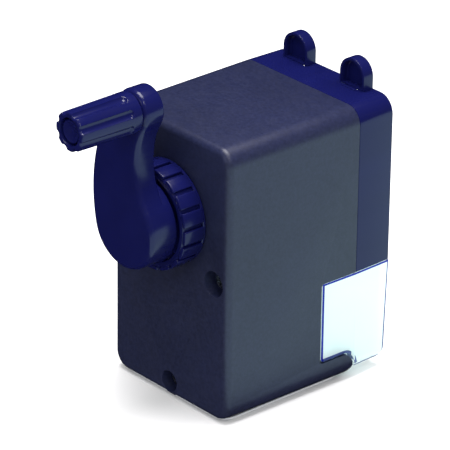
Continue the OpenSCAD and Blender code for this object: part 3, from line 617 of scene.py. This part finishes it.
def joined(name, parts):
    """Several pieces as one mesh."""
    work = bmesh.new()
    for part in parts:
        work.from_mesh(part.data)
        bpy.data.objects.remove(part)
    mesh = bpy.data.meshes.new(name)
    work.to_mesh(mesh)
    work.free()
    return new_object(name, mesh)


# ---------------------------------------------------------------- lock ring
RING_R = RING_HIGH.x
RING_FRONT = RING_LOW.y
CUP_R, NECK_R = 17.4 * MM, 18.7 * MM
GROOVE_W, GROOVE_D = 1.6 * MM, 1.3 * MM
RING_LAND = 1.4 * MM
BLOCKS = 18
FIRST_GROOVE = radians(5)
WEB_Y0, WEB_Y1 = RING_FRONT + 1.6 * MM, RING_FRONT + 3.8 * MM
BUSH_R = 7.0 * MM
LUGS, LUG_HALF, LUG_REACH = 3, radians(13), 20.6 * MM


def ring_block():
    """One block of the ring, at angle 0 about the Y axis through the origin."""
    half = pi / BLOCKS - GROOVE_W / 2 / RING_R
    steps = 6
    outer = arc(0, 0, RING_R, -half, half, steps)
    low = RING_R - GROOVE_D - 0.4 * MM
    outline = [(low * cos(half), low * sin(half)), (low * cos(half), -low * sin(half))] + outer
    block = prism("ring_block", outline, RING_FRONT, FACE_Y - RING_LAND + 0.4 * MM)
    soften(block, 0.4 * MM, 3, 50)
    return block


def make_lock_ring(tree, material):
    base = RING_R - GROOVE_D
    land_y, face = FACE_Y - RING_LAND, FACE_Y - 0.1 * MM
    profile = [(CUP_R + 0.5 * MM, RING_FRONT + 0.05 * MM), (base - 0.5 * MM, RING_FRONT + 0.05 * MM),
               (base, RING_FRONT + 0.55 * MM), (base, land_y), (RING_R - 0.4 * MM, land_y),
               (RING_R - 0.12 * MM, land_y + 0.3 * MM), (RING_R - 0.12 * MM, face - 0.3 * MM),
               (RING_R - 0.4 * MM, face), (NECK_R, face), (NECK_R, RING_HIGH.y), (CUP_R, RING_HIGH.y),
               (CUP_R, WEB_Y1), (BUSH_R, WEB_Y1), (BUSH_R, WEB_Y0), (CUP_R, WEB_Y0),
               (CUP_R, RING_FRONT + 0.55 * MM)]
    ring = turned("lock_ring_body", profile, steps=144, close=True)
    start = FIRST_GROOVE + pi / BLOCKS
    blocks = grow(ring_block(), tree, {"Count": BLOCKS, "Start": start, "Material": material})
    outline = arc(0, 0, CUP_R + MM, LUG_HALF, -LUG_HALF, 1) + arc(0, 0, LUG_REACH, -LUG_HALF, LUG_HALF, 8)
    lugs = []
    for k in range(LUGS):
        lug = prism("lug", outline, RING_HIGH.y - 2 * MM, RING_HIGH.y - 0.01 * MM)
        lugs.append(moved(lug, Matrix.Rotation(-pi / 2 - tau * k / LUGS, 4, "Y")))
    combine(ring, [blocks] + lugs, "UNION")
    moved(ring, Matrix.Translation((0, 0, AXIS_Z)))
    return smooth(ring, 30)


# ---------------------------------------------------------------- tabs and carriage
TAB_LOW, TAB_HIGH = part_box("left_tab")
TAB_R = 6.9 * MM
TAB_Z = TAB_HIGH.z - TAB_R
TAB_FOOT = TOP_Z + 0.05 * MM
TAB_BACK, TAB_FRONT = FRONT_Y - 5.8 * MM, FRONT_Y - 0.6 * MM
HOLLOW_D, HOLLOW_RIM = 2.8 * MM, 1.5 * MM
TAB_RING_IN, TAB_RING_OUT = 18.4 * MM, 25.8 * MM
STEM_HALF = 3.5 * MM
STEM_FROM = AXIS_Z + 19 * MM
HEAD_BACK_R, HEAD_FRONT_R = 0.25 * MM, 0.6 * MM
TAB_PLATE = 1.6 * MM
SLOT_HALF, PIN_AT, PIN_STROKE = 1.2 * MM, 21.3 * MM, 1.7 * MM
SQUEEZE = radians(4)


def arch(x, y, inset, foot):
    """A tab head's outline at depth y: a round top on straight sides."""
    outline = arc(x, TAB_Z, TAB_R - inset, 0, pi, 40)
    outline += [(x - TAB_R + inset, foot), (x + TAB_R - inset, foot)]
    return [(px, y, pz) for px, pz in outline]


def make_tab(name, side, y0):
    y1, x = y0 + TAB_PLATE, side * TAB_X
    tab = turned(name, [(TAB_RING_IN, y0), (TAB_RING_OUT, y0), (TAB_RING_OUT, y1), (TAB_RING_IN, y1)],
                 0, AXIS_Z, 96, close=True)
    stem_top = TAB_FOOT + 0.3 * MM
    stem = prism("stem", [(x + STEM_HALF, STEM_FROM), (x + STEM_HALF, stem_top),
                          (x - STEM_HALF, stem_top), (x - STEM_HALF, STEM_FROM)], y0, y1)
    combine(tab, [stem], "UNION")
    cutters = []
    for angle in (pi / 2, pi * 7 / 6, pi * 11 / 6):
        start = Vector((PIN_AT * cos(angle), PIN_AT * sin(angle)))
        stop = (PIN_AT + PIN_STROKE) * Vector((cos(angle - side * SQUEEZE), sin(angle - side * SQUEEZE)))
        a = atan2(stop.y - start.y, stop.x - start.x)
        outline = arc(stop.x, AXIS_Z + stop.y, SLOT_HALF, a - pi / 2, a + pi / 2, 10)
        outline += arc(start.x, AXIS_Z + start.y, SLOT_HALF, a + pi / 2, a + pi * 3 / 2, 10)
        cutters.append(prism("slot", outline, y0 - MM, y1 + MM))
    combine(tab, cutters)
    soften(tab, 0.25 * MM, 2, 60)
    stations = rounded_end(TAB_BACK, HEAD_BACK_R, 4, -1)[::-1] + rounded_end(TAB_FRONT, HEAD_FRONT_R, 6)
    head = loft("head", [arch(x, y, inset, TAB_FOOT) for y, inset in stations])
    floor = TAB_FOOT + 0.5 * MM
    dip = [(TAB_BACK - 0.2 * MM, HOLLOW_RIM - 0.5 * MM), (TAB_BACK + 0.1 * MM, HOLLOW_RIM - 0.35 * MM),
           (TAB_BACK + 0.6 * MM, HOLLOW_RIM), (TAB_BACK + HOLLOW_D - 0.5 * MM, HOLLOW_RIM),
           (TAB_BACK + HOLLOW_D, HOLLOW_RIM + 0.5 * MM)]
    combine(head, [loft("hollow", [arch(x, y, inset, floor) for y, inset in dip])])
    combine(tab, [head], "UNION")
    return smooth(tab, 35)


def cad_copy(name, node):
    """A merged copy of a CAD node's mesh, to be finished as a piece of its own."""
    mesh = frame["nodes"][node].data.copy()
    mesh.materials.clear()
    piece = new_object(name, mesh)
    work = bmesh.new()
    work.from_mesh(mesh)
    bmesh.ops.remove_doubles(work, verts=work.verts, dist=1e-6)
    work.to_mesh(mesh)
    work.free()
    return piece


def eased(name, node, width, segments=2):
    """A CAD node's shape with its edges broken."""
    return smooth(soften(cad_copy(name, node), width, segments, 40), 30)


# ---------------------------------------------------------------- pad, screws and springs
def make_pad():
    half, inset = PAD_HIGH.x, 0.15 * MM
    rings = []
    for z, grow_in in ((PAD_HIGH.z, 0.0), (PAD_LOW.z + inset, 0.0), (PAD_LOW.z, inset)):
        outline = round_rect(-half + grow_in, PAD_LOW.y + grow_in, half - grow_in, PAD_HIGH.y - grow_in,
                             5 * MM - grow_in, 8)
        rings.append([(x, y, z) for x, y in outline])
    return smooth(loft("anti_slip_pad", rings))


def screw_pattern(name, head, head_l, shank, length):
    """A cross-head screw along Y with its seat at the origin."""
    crown = 0.35 * head_l
    profile = [(0, -head_l), (0.55 * head, -head_l), (0.85 * head, -head_l + 0.4 * crown),
               (head, -head_l + crown), (head, -0.1 * MM), (head - 0.1 * MM, 0), (shank, 0),
               (shank, length - shank), (0.35 * shank, length), (0, length)]
    screw = turned(name, profile, steps=48)
    arm, wide = 0.55 * head, 0.14 * head
    for outline in ([(arm, -wide), (arm, wide), (-arm, wide), (-arm, -wide)],
                    [(wide, -arm), (wide, arm), (-wide, arm), (-wide, -arm)]):
        combine(screw, [prism("drive", outline, -head_l - MM, -head_l + 0.5 * head_l)])
    screw.hide_render = True
    return smooth(screw, 30)


def fasteners(name, tree, pattern, places, material):
    """A screw at each place, as one mesh."""
    mesh = bpy.data.meshes.new(name)
    mesh.from_pydata([tuple(p) for p in places], [], [])
    piece = grow(new_object(name, mesh), tree, {"Pattern": pattern, "Material": material})
    bpy.data.objects.remove(pattern)
    return smooth(piece, 30)


def coil(name, tree, turns, radius, length, wire, material):
    """A spring along Z from the origin."""
    seed = new_object(name, bpy.data.meshes.new(name))
    return grow(seed, tree, {"Turns": turns, "Coil Radius": radius, "Length": length, "Wire Radius": wire,
                             "Material": material})


# ---------------------------------------------------------------- cutter
CUTTER_TEETH = 12
CUTTER_TILT = radians(8.7)
CUTTER_R, CUTTER_ROOT, CUTTER_L = 6.0 * MM, 4.9 * MM, 28 * MM
CUTTER_FROM = -9.5 * MM
CUTTER_TWIST = radians(110)
AXLE_BORE = 1.65 * MM
TOOTH_STEPS = 10            # points round each tooth
TOOTH_PEAK, TOOTH_END = 0.08, 0.55
CUTTER_EASE = 0.5 * MM


def make_cutter(joint):
    """Helical teeth, steep on one flank and gentle on the other, round a bored core."""
    around, along = CUTTER_TEETH * TOOTH_STEPS, 44

    def ring(z, inset):
        points = []
        for k in range(around):
            share = (k / TOOTH_STEPS) % 1
            lift = max(0.0, 1 - share / TOOTH_END) if share > TOOTH_PEAK else share / TOOTH_PEAK
            r = CUTTER_ROOT + (CUTTER_R - CUTTER_ROOT) * lift - inset
            a = tau * k / around + CUTTER_TWIST * z / CUTTER_L
            points.append((r * cos(a), r * sin(a), z))
        return points
    rings = [[(x, y, 0) for x, y, _ in ring(0.4 * MM, CUTTER_EASE)]]
    rings += [ring(CUTTER_L * i / along, 0) for i in range(1, along)]
    rings.append(ring(CUTTER_L, CUTTER_EASE))
    for z in (CUTTER_L, 0):
        rings.append([(AXLE_BORE * cos(tau * k / around), AXLE_BORE * sin(tau * k / around), z)
                      for k in range(around)])
    cutter = loft("helical_cutter_blades", rings, close=True)
    moved(cutter, Matrix.Translation((0, 0, CUTTER_FROM - CUTTER_L)))
    moved(cutter, Matrix.Rotation(CUTTER_TILT - pi / 2, 4, "X"))
    moved(cutter, Matrix.Translation(Vector(joint["pos_m"])))
    return smooth(cutter, 25)


# ---------------------------------------------------------------- finishes
def shader(name, roughness, metallic=0.0, specular=0.5):
    """A new principled finish; what is the same all over is set on its own sockets."""
    material = bpy.data.materials.new(name)
    material.use_nodes = True
    tree = material.node_tree
    surface = tree.nodes["Principled BSDF"]
    surface.inputs["Roughness"].default_value = roughness
    surface.inputs["Metallic"].default_value = metallic
    surface.inputs["Specular IOR Level"].default_value = specular
    return material, tree, surface


def noise(tree, scale, detail=2.0, stretch=(1, 1, 1)):
    """Noise in object space, a scale being cells per metre."""
    place_in = tree.nodes.new("ShaderNodeTexCoord")
    shape = tree.nodes.new("ShaderNodeMapping")
    shape.inputs["Scale"].default_value = stretch
    node = tree.nodes.new("ShaderNodeTexNoise")
    node.inputs["Scale"].default_value = scale
    node.inputs["Detail"].default_value = detail
    tree.links.new(place_in.outputs["Object"], shape.inputs["Vector"])
    tree.links.new(shape.outputs["Vector"], node.inputs["Vector"])
    return node.outputs["Fac"]


def tones(tree, value, *stops):
    """A colour ramp from (position, colour) stops."""
    node = tree.nodes.new("ShaderNodeValToRGB")
    ramp = node.color_ramp
    while len(ramp.elements) < len(stops):
        ramp.elements.new(0.5)
    for element, (position, colour) in zip(ramp.elements, stops):
        element.position = position
        element.color = (*colour, 1.0)
    tree.links.new(value, node.inputs["Fac"])
    return node.outputs["Color"]


def span(tree, value, low, high, start=0.3, end=0.7):
    """Maps a pattern's middle range onto low to high."""
    node = tree.nodes.new("ShaderNodeMapRange")
    for socket, number in (("From Min", start), ("From Max", end), ("To Min", low), ("To Max", high)):
        node.inputs[socket].default_value = number
    tree.links.new(value, node.inputs["Value"])
    return node.outputs["Result"]


def mixed(tree, a, b, share):
    """Colour a multiplied by colour b, as far as the share says."""
    node = tree.nodes.new("ShaderNodeMix")
    node.data_type = "RGBA"
    node.blend_type = "MULTIPLY"
    node.inputs["Factor"].default_value = share
    tree.links.new(a, node.inputs["A"])
    tree.links.new(b, node.inputs["B"])
    return node.outputs["Result"]


def bump(tree, surface, height, distance, strength):
    """Adds relief from a pattern on top of what the surface already has."""
    node = tree.nodes.new("ShaderNodeBump")
    node.inputs["Distance"].default_value = distance
    node.inputs["Strength"].default_value = strength
    tree.links.new(height, node.inputs["Height"])
    last = surface.inputs["Normal"].links
    if last:
        tree.links.new(last[0].from_socket, node.inputs["Normal"])
    tree.links.new(node.outputs["Normal"], surface.inputs["Normal"])


def scaled(colour, by):
    return tuple(min(1.0, channel * by) for channel in colour)


def set_base(tree, surface, colour):
    tree.links.new(colour, surface.inputs["Base Color"])


def set_sheen(tree, surface, pattern, low, high):
    """Lets the roughness follow a pattern from low to high."""
    tree.links.new(span(tree, pattern, low, high), surface.inputs["Roughness"])


WHITE = (1.0, 1.0, 1.0)


def moulded(name, colour, roughness, grain, grain_depth, mottle=0.08):
    """Moulded plastic: a slow drift of tone, a fine spark-eroded grain and small changes of sheen."""
    material, tree, surface = shader(name, roughness)
    fine = noise(tree, grain, 3.0)
    dark, light = scaled(colour, 1 - mottle), scaled(colour, 1 + mottle)
    drift = tones(tree, noise(tree, 22.0), (0.35, dark), (0.65, light))
    speck = tones(tree, fine, (0.35, (0.8, 0.8, 0.8)), (0.65, WHITE))
    blotch = tones(tree, noise(tree, 0.4 * grain), (0.35, (0.72, 0.74, 0.78)), (0.65, WHITE))
    set_base(tree, surface, mixed(tree, mixed(tree, drift, speck, 0.9), blotch, 0.9))
    set_sheen(tree, surface, noise(tree, 300.0, 3.0), roughness - 0.03, roughness + 0.04)
    bump(tree, surface, fine, grain_depth, 0.6)
    return material


def polished(name, colour, roughness):
    """Glossy moulded plastic with faint flow lines and hairline scratches."""
    material, tree, surface = shader(name, roughness, specular=0.34)
    flow = noise(tree, 60.0, stretch=(1.0, 0.25, 1.0))
    set_base(tree, surface, tones(tree, flow, (0.3, scaled(colour, 0.92)), (0.7, scaled(colour, 1.08))))
    hair = noise(tree, 900.0, stretch=(1.0, 0.08, 1.0))
    set_sheen(tree, surface, hair, roughness - 0.03, roughness + 0.05)
    bump(tree, surface, noise(tree, 120.0, 1.0), 0.03 * MM, 0.35)
    bump(tree, surface, hair, 0.004 * MM, 0.4)
    return material


PAINTED_GLOW = 0.13                 # painted glow that the clear walls give off themselves, in their own colour
CLEAR_IOR = 1.07            # low, so that the thick walls bend little


def clear(name, colour, roughness, through):
    """Clear styrene, a little milky, with slight waves from the mould, and a painted glow in its own colour;
    through is its clear share and also sets how strong the glow is.
    """
    material, tree, surface = shader(name, roughness)
    surface.inputs["Transmission Weight"].default_value = through
    # Painted glow: the clear walls emit light of their own colour.
    surface.inputs["Emission Color"].default_value = (*scaled(colour, 0.96), 1.0)
    surface.inputs["Emission Strength"].default_value = PAINTED_GLOW * through
    surface.inputs["IOR"].default_value = CLEAR_IOR
    wave = noise(tree, 40.0, 1.0)
    set_base(tree, surface, tones(tree, wave, (0.3, scaled(colour, 0.985)), (0.7, colour)))
    set_sheen(tree, surface, noise(tree, 500.0), roughness, roughness + 0.03)
    bump(tree, surface, wave, 0.02 * MM, 0.3)
    return material


def metal(name, colour, roughness, brushed, scale=1600.0):
    """Turned or drawn metal, brushed along one way."""
    material, tree, surface = shader(name, roughness, metallic=1.0)
    grain = noise(tree, scale, stretch=brushed)
    tone = tones(tree, noise(tree, 90.0, 3.0), (0.35, scaled(colour, 0.86)), (0.65, colour))
    streak = tones(tree, grain, (0.3, (0.9, 0.9, 0.9)), (0.7, WHITE))
    set_base(tree, surface, mixed(tree, tone, streak, 1.0))
    set_sheen(tree, surface, grain, roughness - 0.06, roughness + 0.08)
    bump(tree, surface, grain, 0.006 * MM, 0.5)
    return material


FINISHES = {
    "shell_grey": moulded("grey_navy_shell", (0.0168, 0.0215, 0.065), 0.40, 1900.0, 0.03 * MM),
    "blue_gloss": polished("navy_gloss", (0.0050, 0.0064, 0.064), 0.2),
    "clear_drawer": clear("clear_styrene", (0.87, 1.0, 1.0), 0.01, 0.6),
    "black_plastic": moulded("black_frame_plastic", (0.018, 0.019, 0.022), 0.45, 1500.0, 0.03 * MM),
    "white_nylon": moulded("white_nylon", (0.72, 0.71, 0.66), 0.38, 900.0, 0.02 * MM, 0.04),
    "bright_steel": metal("drawn_steel", (0.60, 0.61, 0.63), 0.26, (1.0, 0.06, 1.0)),
    "tool_steel": metal("ground_tool_steel", (0.48, 0.49, 0.52), 0.22, (1.0, 0.15, 1.0), 2200.0),
    "brass": metal("turned_brass", (0.70, 0.50, 0.20), 0.28, (1.0, 0.08, 1.0)),
    "grip_rubber": moulded("jaw_rubber", (0.030, 0.030, 0.032), 0.75, 2400.0, 0.05 * MM, 0.12),
    "pad_foam": moulded("pad_foam", (0.62, 0.64, 0.67), 0.85, 2600.0, 0.08 * MM, 0.05),
}
# Painted blue reflections of the housing on the clear drawer's edges: deep blue on the rims, grey-blue on the
# other edges.
PAINTED_RIM_REFLECTION = clear("rim_painted_blue_reflection", (0.012, 0.016, 0.26), 0.04, 0.4)
PAINTED_EDGE_REFLECTION = clear("edge_painted_grey_blue_reflection", (0.06, 0.085, 0.24), 0.04, 0.5)


# ---------------------------------------------------------------- assembly
FEED_WIRE, FEED_TURNS = 0.35 * MM, 11
TAB_WIRE, TAB_TURNS = 0.25 * MM, 10


def build():
    ring_of, at_places, wire_coil = ring_tree(), places_tree(), coil_tree()
    steel = FINISHES["bright_steel"]
    joints = {joint["name"]: joint for joint in frame["joints"]}

    def fit(piece, body, finish, *nodes):
        return place(piece, body, finish, FINISHES[finish], *nodes)

    fit(make_housing(), "body_shell", "shell_grey", "housing")
    fit(make_bezel(), "body_shell", "blue_gloss", "front_bezel")
    fit(make_pad(), "body_shell", "pad_foam", "base_pad")
    paint_rim_reflections(fit(make_drawer(), "drawer", "clear_drawer", "shavings_drawer"))
    fit(make_lock_ring(ring_of, FINISHES["blue_gloss"]), "lock", "blue_gloss", "lock_ring")
    fit(make_crank(), "crank", "blue_gloss", "crank_arm")
    fit(make_pin(), "crank", "blue_gloss", "handle_pin")
    fit(make_grip(), "grip", "blue_gloss", "handle_grip")
    fit(make_tab("left_pinch_tab", -1, TAB_LOW.y), "tab_left", "blue_gloss", "left_tab")
    right_y = TAB_LOW.y - TAB_PLATE - 0.2 * MM
    fit(make_tab("right_pinch_tab", 1, right_y), "tab_right", "blue_gloss", "right_tab")
    plate = eased("carriage_front", "carriage_plate", 0.3 * MM, 3)
    fit(plate, "carriage", "blue_gloss", "carriage_plate")
    fit(make_cutter(joints["cutter_spin"]), "cutter", "tool_steel", "helical_cutter")
    shapes = [("frame_deck", "inner_frame", "body_shell", 0.3),
              ("jaw_channels", "jaw_guide", "carriage", 0.25),
              ("carrier_body", "cutter_carrier", "crank", 0.3),
              ("drive_shaft", "crank_shaft", "crank", 0.3),
              ("bushing", "shaft_bushing", "lock", 0.2),
              ("rods", "guide_rods", "carriage", 0.3),
              ("collars", "rod_collars", "carriage", 0.2),
              ("nylon_guide", "pencil_guide", "body_shell", 0.3),
              ("nylon_bushings", "rod_bushings", "body_shell", 0.2)]
    shapes += [(f"{side}_jaw_slider", f"jaw_{side}", f"{body}_jaw", 0.25)
               for side, body in (("top", "upper"), ("left", "left"), ("right", "right"))]
    for name, node, body, width in shapes:
        fit(eased(name, node, width * MM), body, slot_of(node), node)
    for name, node, body in (("rear_face_screws", "rear_screws", "body_shell"),
                             ("bezel_fixing_screws", "bezel_screws", "body_shell"),
                             ("carriage_fixing_screws", "carriage_screws", "carriage")):
        fit(make_screws(name, node, at_places, steel), body, "bright_steel", node)
    make_springs(wire_coil, steel, fit)
    for node, thing in frame["nodes"].items():
        if not thing.hide_render:
            thing.material_slots[0].material = FINISHES[slot_of(node)]


def slot_of(node):
    """The finish that the record gives a node."""
    return next(row["material_slot"] for row in frame["record"]["subparts"] if row["node"] == node)


def make_screws(name, node, tree, material):
    """Cross-head screws on the middles of the CAD screws, with the same head and length."""
    islands = islands_of(node)
    low, high = islands[0]
    head = (high.x - low.x) / 2
    rear = node == "rear_screws"
    head_l, shank = (2.2 * MM, 1.3 * MM) if rear else (1.4 * MM, 1.0 * MM)
    seats = [((a.x + b.x) / 2, a.y + head_l, (a.z + b.z) / 2) for a, b in islands]
    length = min(b.y - a.y for a, b in islands) - head_l
    pattern = screw_pattern(name + "_pattern", head, head_l, shank, length)
    return fasteners(name, tree, pattern, seats, material)


def islands_of(node):
    """The box of each separate solid of a CAD node."""
    work = bmesh.new()
    work.from_mesh(frame["nodes"][node].data)
    bmesh.ops.remove_doubles(work, verts=work.verts, dist=1e-6)
    left, boxes = set(work.verts), []
    while left:
        stack, group = [left.pop()], []
        while stack:
            vert = stack.pop()
            group.append(vert.co.copy())
            for edge in vert.link_edges:
                other = edge.other_vert(vert)
                if other in left:
                    left.discard(other)
                    stack.append(other)
        boxes.append((Vector(map(min, zip(*group))), Vector(map(max, zip(*group)))))
    work.free()
    return sorted(boxes, key=lambda pair: tuple(pair[0]))


def make_springs(tree, steel, fit):
    """The two feed springs and the spring between the tabs."""
    wire = FEED_WIRE
    coils = []
    for low, high in islands_of("feed_springs"):
        radius = (high.x - low.x) / 2 - wire
        spring = coil("feed_coil", tree, FEED_TURNS, radius, high.y - low.y - 2 * wire, wire, steel)
        moved(spring, Matrix.Rotation(-pi / 2, 4, "X"))
        coils.append(moved(spring, Matrix.Translation(((low.x + high.x) / 2, low.y + wire, AXIS_Z))))
    feed = fit(smooth(joined("feed_coils", coils), 60), "body_shell", "bright_steel", "feed_springs")
    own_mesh(feed)
    low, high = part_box("tab_spring")
    wire, level = TAB_WIRE, (low.z + high.z) / 2
    radius = (high.z - low.z) / 2 - wire
    spring = coil("tab_coil", tree, TAB_TURNS, radius, high.x - low.x - 2 * wire, wire, steel)
    moved(spring, Matrix.Rotation(pi / 2, 4, "Y"))
    moved(spring, Matrix.Translation((low.x + wire, (low.y + high.y) / 2, level)))
    tabs = fit(smooth(spring, 60), "carriage", "bright_steel", "tab_spring")
    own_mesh(tabs)


def paint_rim_reflections(drawer):
    """Paints blue reflections of the housing onto the edges of the clear walls: deep at the rear and the top,
    greyer elsewhere.
    """
    mesh = drawer.data
    rear, top = WINDOW_Y + 1.5 * MM, DRAWER_TOP - 0.9 * MM
    lean = Vector((0, DRAWER_TOP - CHEEK_FLOOR - CHEEK_R, -FRONT_LEAN)).normalized()
    brim = Vector((0, FRONT_Y - 0.7 * MM, DRAWER_TOP))
    work = bmesh.new()
    work.from_mesh(mesh)
    for point, normal in (((0, rear, 0), (0, 1, 0)), ((0, 0, top), (0, 0, 1)), (brim, lean)):
        everything = work.verts[:] + work.edges[:] + work.faces[:]
        bmesh.ops.bisect_plane(work, geom=everything, plane_co=point, plane_no=normal)
    work.to_mesh(mesh)
    work.free()
    mesh.materials.append(PAINTED_RIM_REFLECTION)
    mesh.materials.append(PAINTED_EDGE_REFLECTION)
    # Painted reflection: rim faces at the rear and the top take the deep blue, the other edge faces the grey-blue.
    for face in mesh.polygons:
        c, n = face.center, face.normal
        outside = abs(c.x) > HALF_W - SIDE_DRAFT - 0.6 * MM
        wall = abs(c.x) > HALF_W - SIDE_DRAFT - WALL
        band = abs(c.x) > BAND_X - 0.01 * MM and c.z < TONGUE_TOP + 3 * MM and c.y < SEAM_Y + 2 * MM
        if outside and (c.y < rear or c.z > top):
            face.material_index = 1
        elif band or wall and (n.y > 0.3 or n.z < -0.3 or (c - brim).dot(lean) > 0):
            face.material_index = 2
    return smooth(drawer)


# ---------------------------------------------------------------- stage, light and camera
MIDDLE = (0, 0, 0.06)
LAMPS = [
    # name, place, sides, watts, colour
    ("top_box", (0.0, 0.0, 0.95), (0.5, 0.5), 10.0, (1.0, 0.98, 1.0)),
    ("corner_box", (0.55, -0.35, 0.75), (0.09, 0.09), 0.9, WHITE),
    ("crank_box", (0.1, -1.0, 0.55), (0.25, 0.4), 0.6, WHITE),
]
GLOW_LOW, GLOW_HIGH = Vector((0.045, -0.3)), Vector((0.8, 0.8))
GLOW_Z = 0.001
GLOW_COLOUR = (0.82, 1.15, 1.2)
SKY = 0.95
FLOOR_Z, FLOOR_HALF = -0.05 * MM, 4


def soft_box(name, at, aim, size, power, colour):
    """An area light that the camera doesn't see."""
    lamp = bpy.data.lights.new(name, "AREA")
    lamp.shape = "RECTANGLE"
    lamp.size, lamp.size_y = size
    lamp.energy = power
    lamp.color = colour
    thing = bpy.data.objects.new(name, lamp)
    bpy.context.scene.collection.objects.link(thing)
    thing.location = at
    thing.rotation_euler = (Vector(aim) - Vector(at)).to_track_quat("-Z", "Y").to_euler()
    thing.visible_camera = False
    return thing


def set_stage():
    half = FLOOR_HALF
    corners = [(-half, -half, FLOOR_Z), (half, -half, FLOOR_Z), (half, half, FLOOR_Z), (-half, half, FLOOR_Z)]
    floor = from_faces("floor", corners, [(0, 1, 2, 3)])
    material, tree, surface = shader("pale_floor", 0.9, specular=0.0)
    cloud = tones(tree, noise(tree, 3.0), (0.3, (0.94, 0.94, 0.94)), (0.7, (0.96, 0.96, 0.96)))
    set_base(tree, surface, cloud)
    floor.data.materials.append(material)
    floor.visible_glossy = False
    floor.visible_diffuse = False
    scene = bpy.context.scene
    world = bpy.data.worlds.new("studio")
    world.use_nodes = True
    sky = world.node_tree.nodes["Background"]
    sky.inputs["Color"].default_value = (*WHITE, 1.0)
    sky.inputs["Strength"].default_value = SKY
    world.cycles_visibility.glossy = False
    scene.world = world
    scene.view_settings.view_transform = "Standard"
    for name, at, size, power, colour in LAMPS:
        soft_box(name, at, MIDDLE, size, power, colour)
    # The side faces take their greenish sheen from a lit patch of the table.
    centre, size = (GLOW_LOW + GLOW_HIGH) / 2, GLOW_HIGH - GLOW_LOW
    power = pi * size.x * size.y
    glow = soft_box("table_glow", (*centre, GLOW_Z), (*centre, 1.0), size, power, GLOW_COLOUR)
    glow.visible_diffuse = False


AZIMUTH, ELEVATION, ROLL = radians(48.70), radians(25.47), 0.0129
TARGET, DISTANCE = Vector((-15.13, -0.03, 57.56)) * MM, 1463.8 * MM
LENS, SHIFT = 297.66, (-0.0024, -0.0095)


def set_camera():
    azimuth, elevation, roll = AZIMUTH, ELEVATION, ROLL
    back = Vector((sin(azimuth) * cos(elevation), -cos(azimuth) * cos(elevation), sin(elevation)))
    right = Vector((cos(azimuth), sin(azimuth), 0))
    up = back.cross(right)
    right, up = right * cos(roll) + up * sin(roll), up * cos(roll) - right * sin(roll)
    lens = bpy.data.cameras.new("camera")
    lens.sensor_width = 36
    lens.lens = LENS
    lens.shift_x, lens.shift_y = SHIFT
    camera = bpy.data.objects.new("camera", lens)
    bpy.context.scene.collection.objects.link(camera)
    turn = Matrix((right, up, back)).transposed().to_4x4()
    camera.matrix_world = Matrix.Translation(TARGET + back * DISTANCE) @ turn
    bpy.context.scene.camera = camera


build()
set_stage()
set_camera()
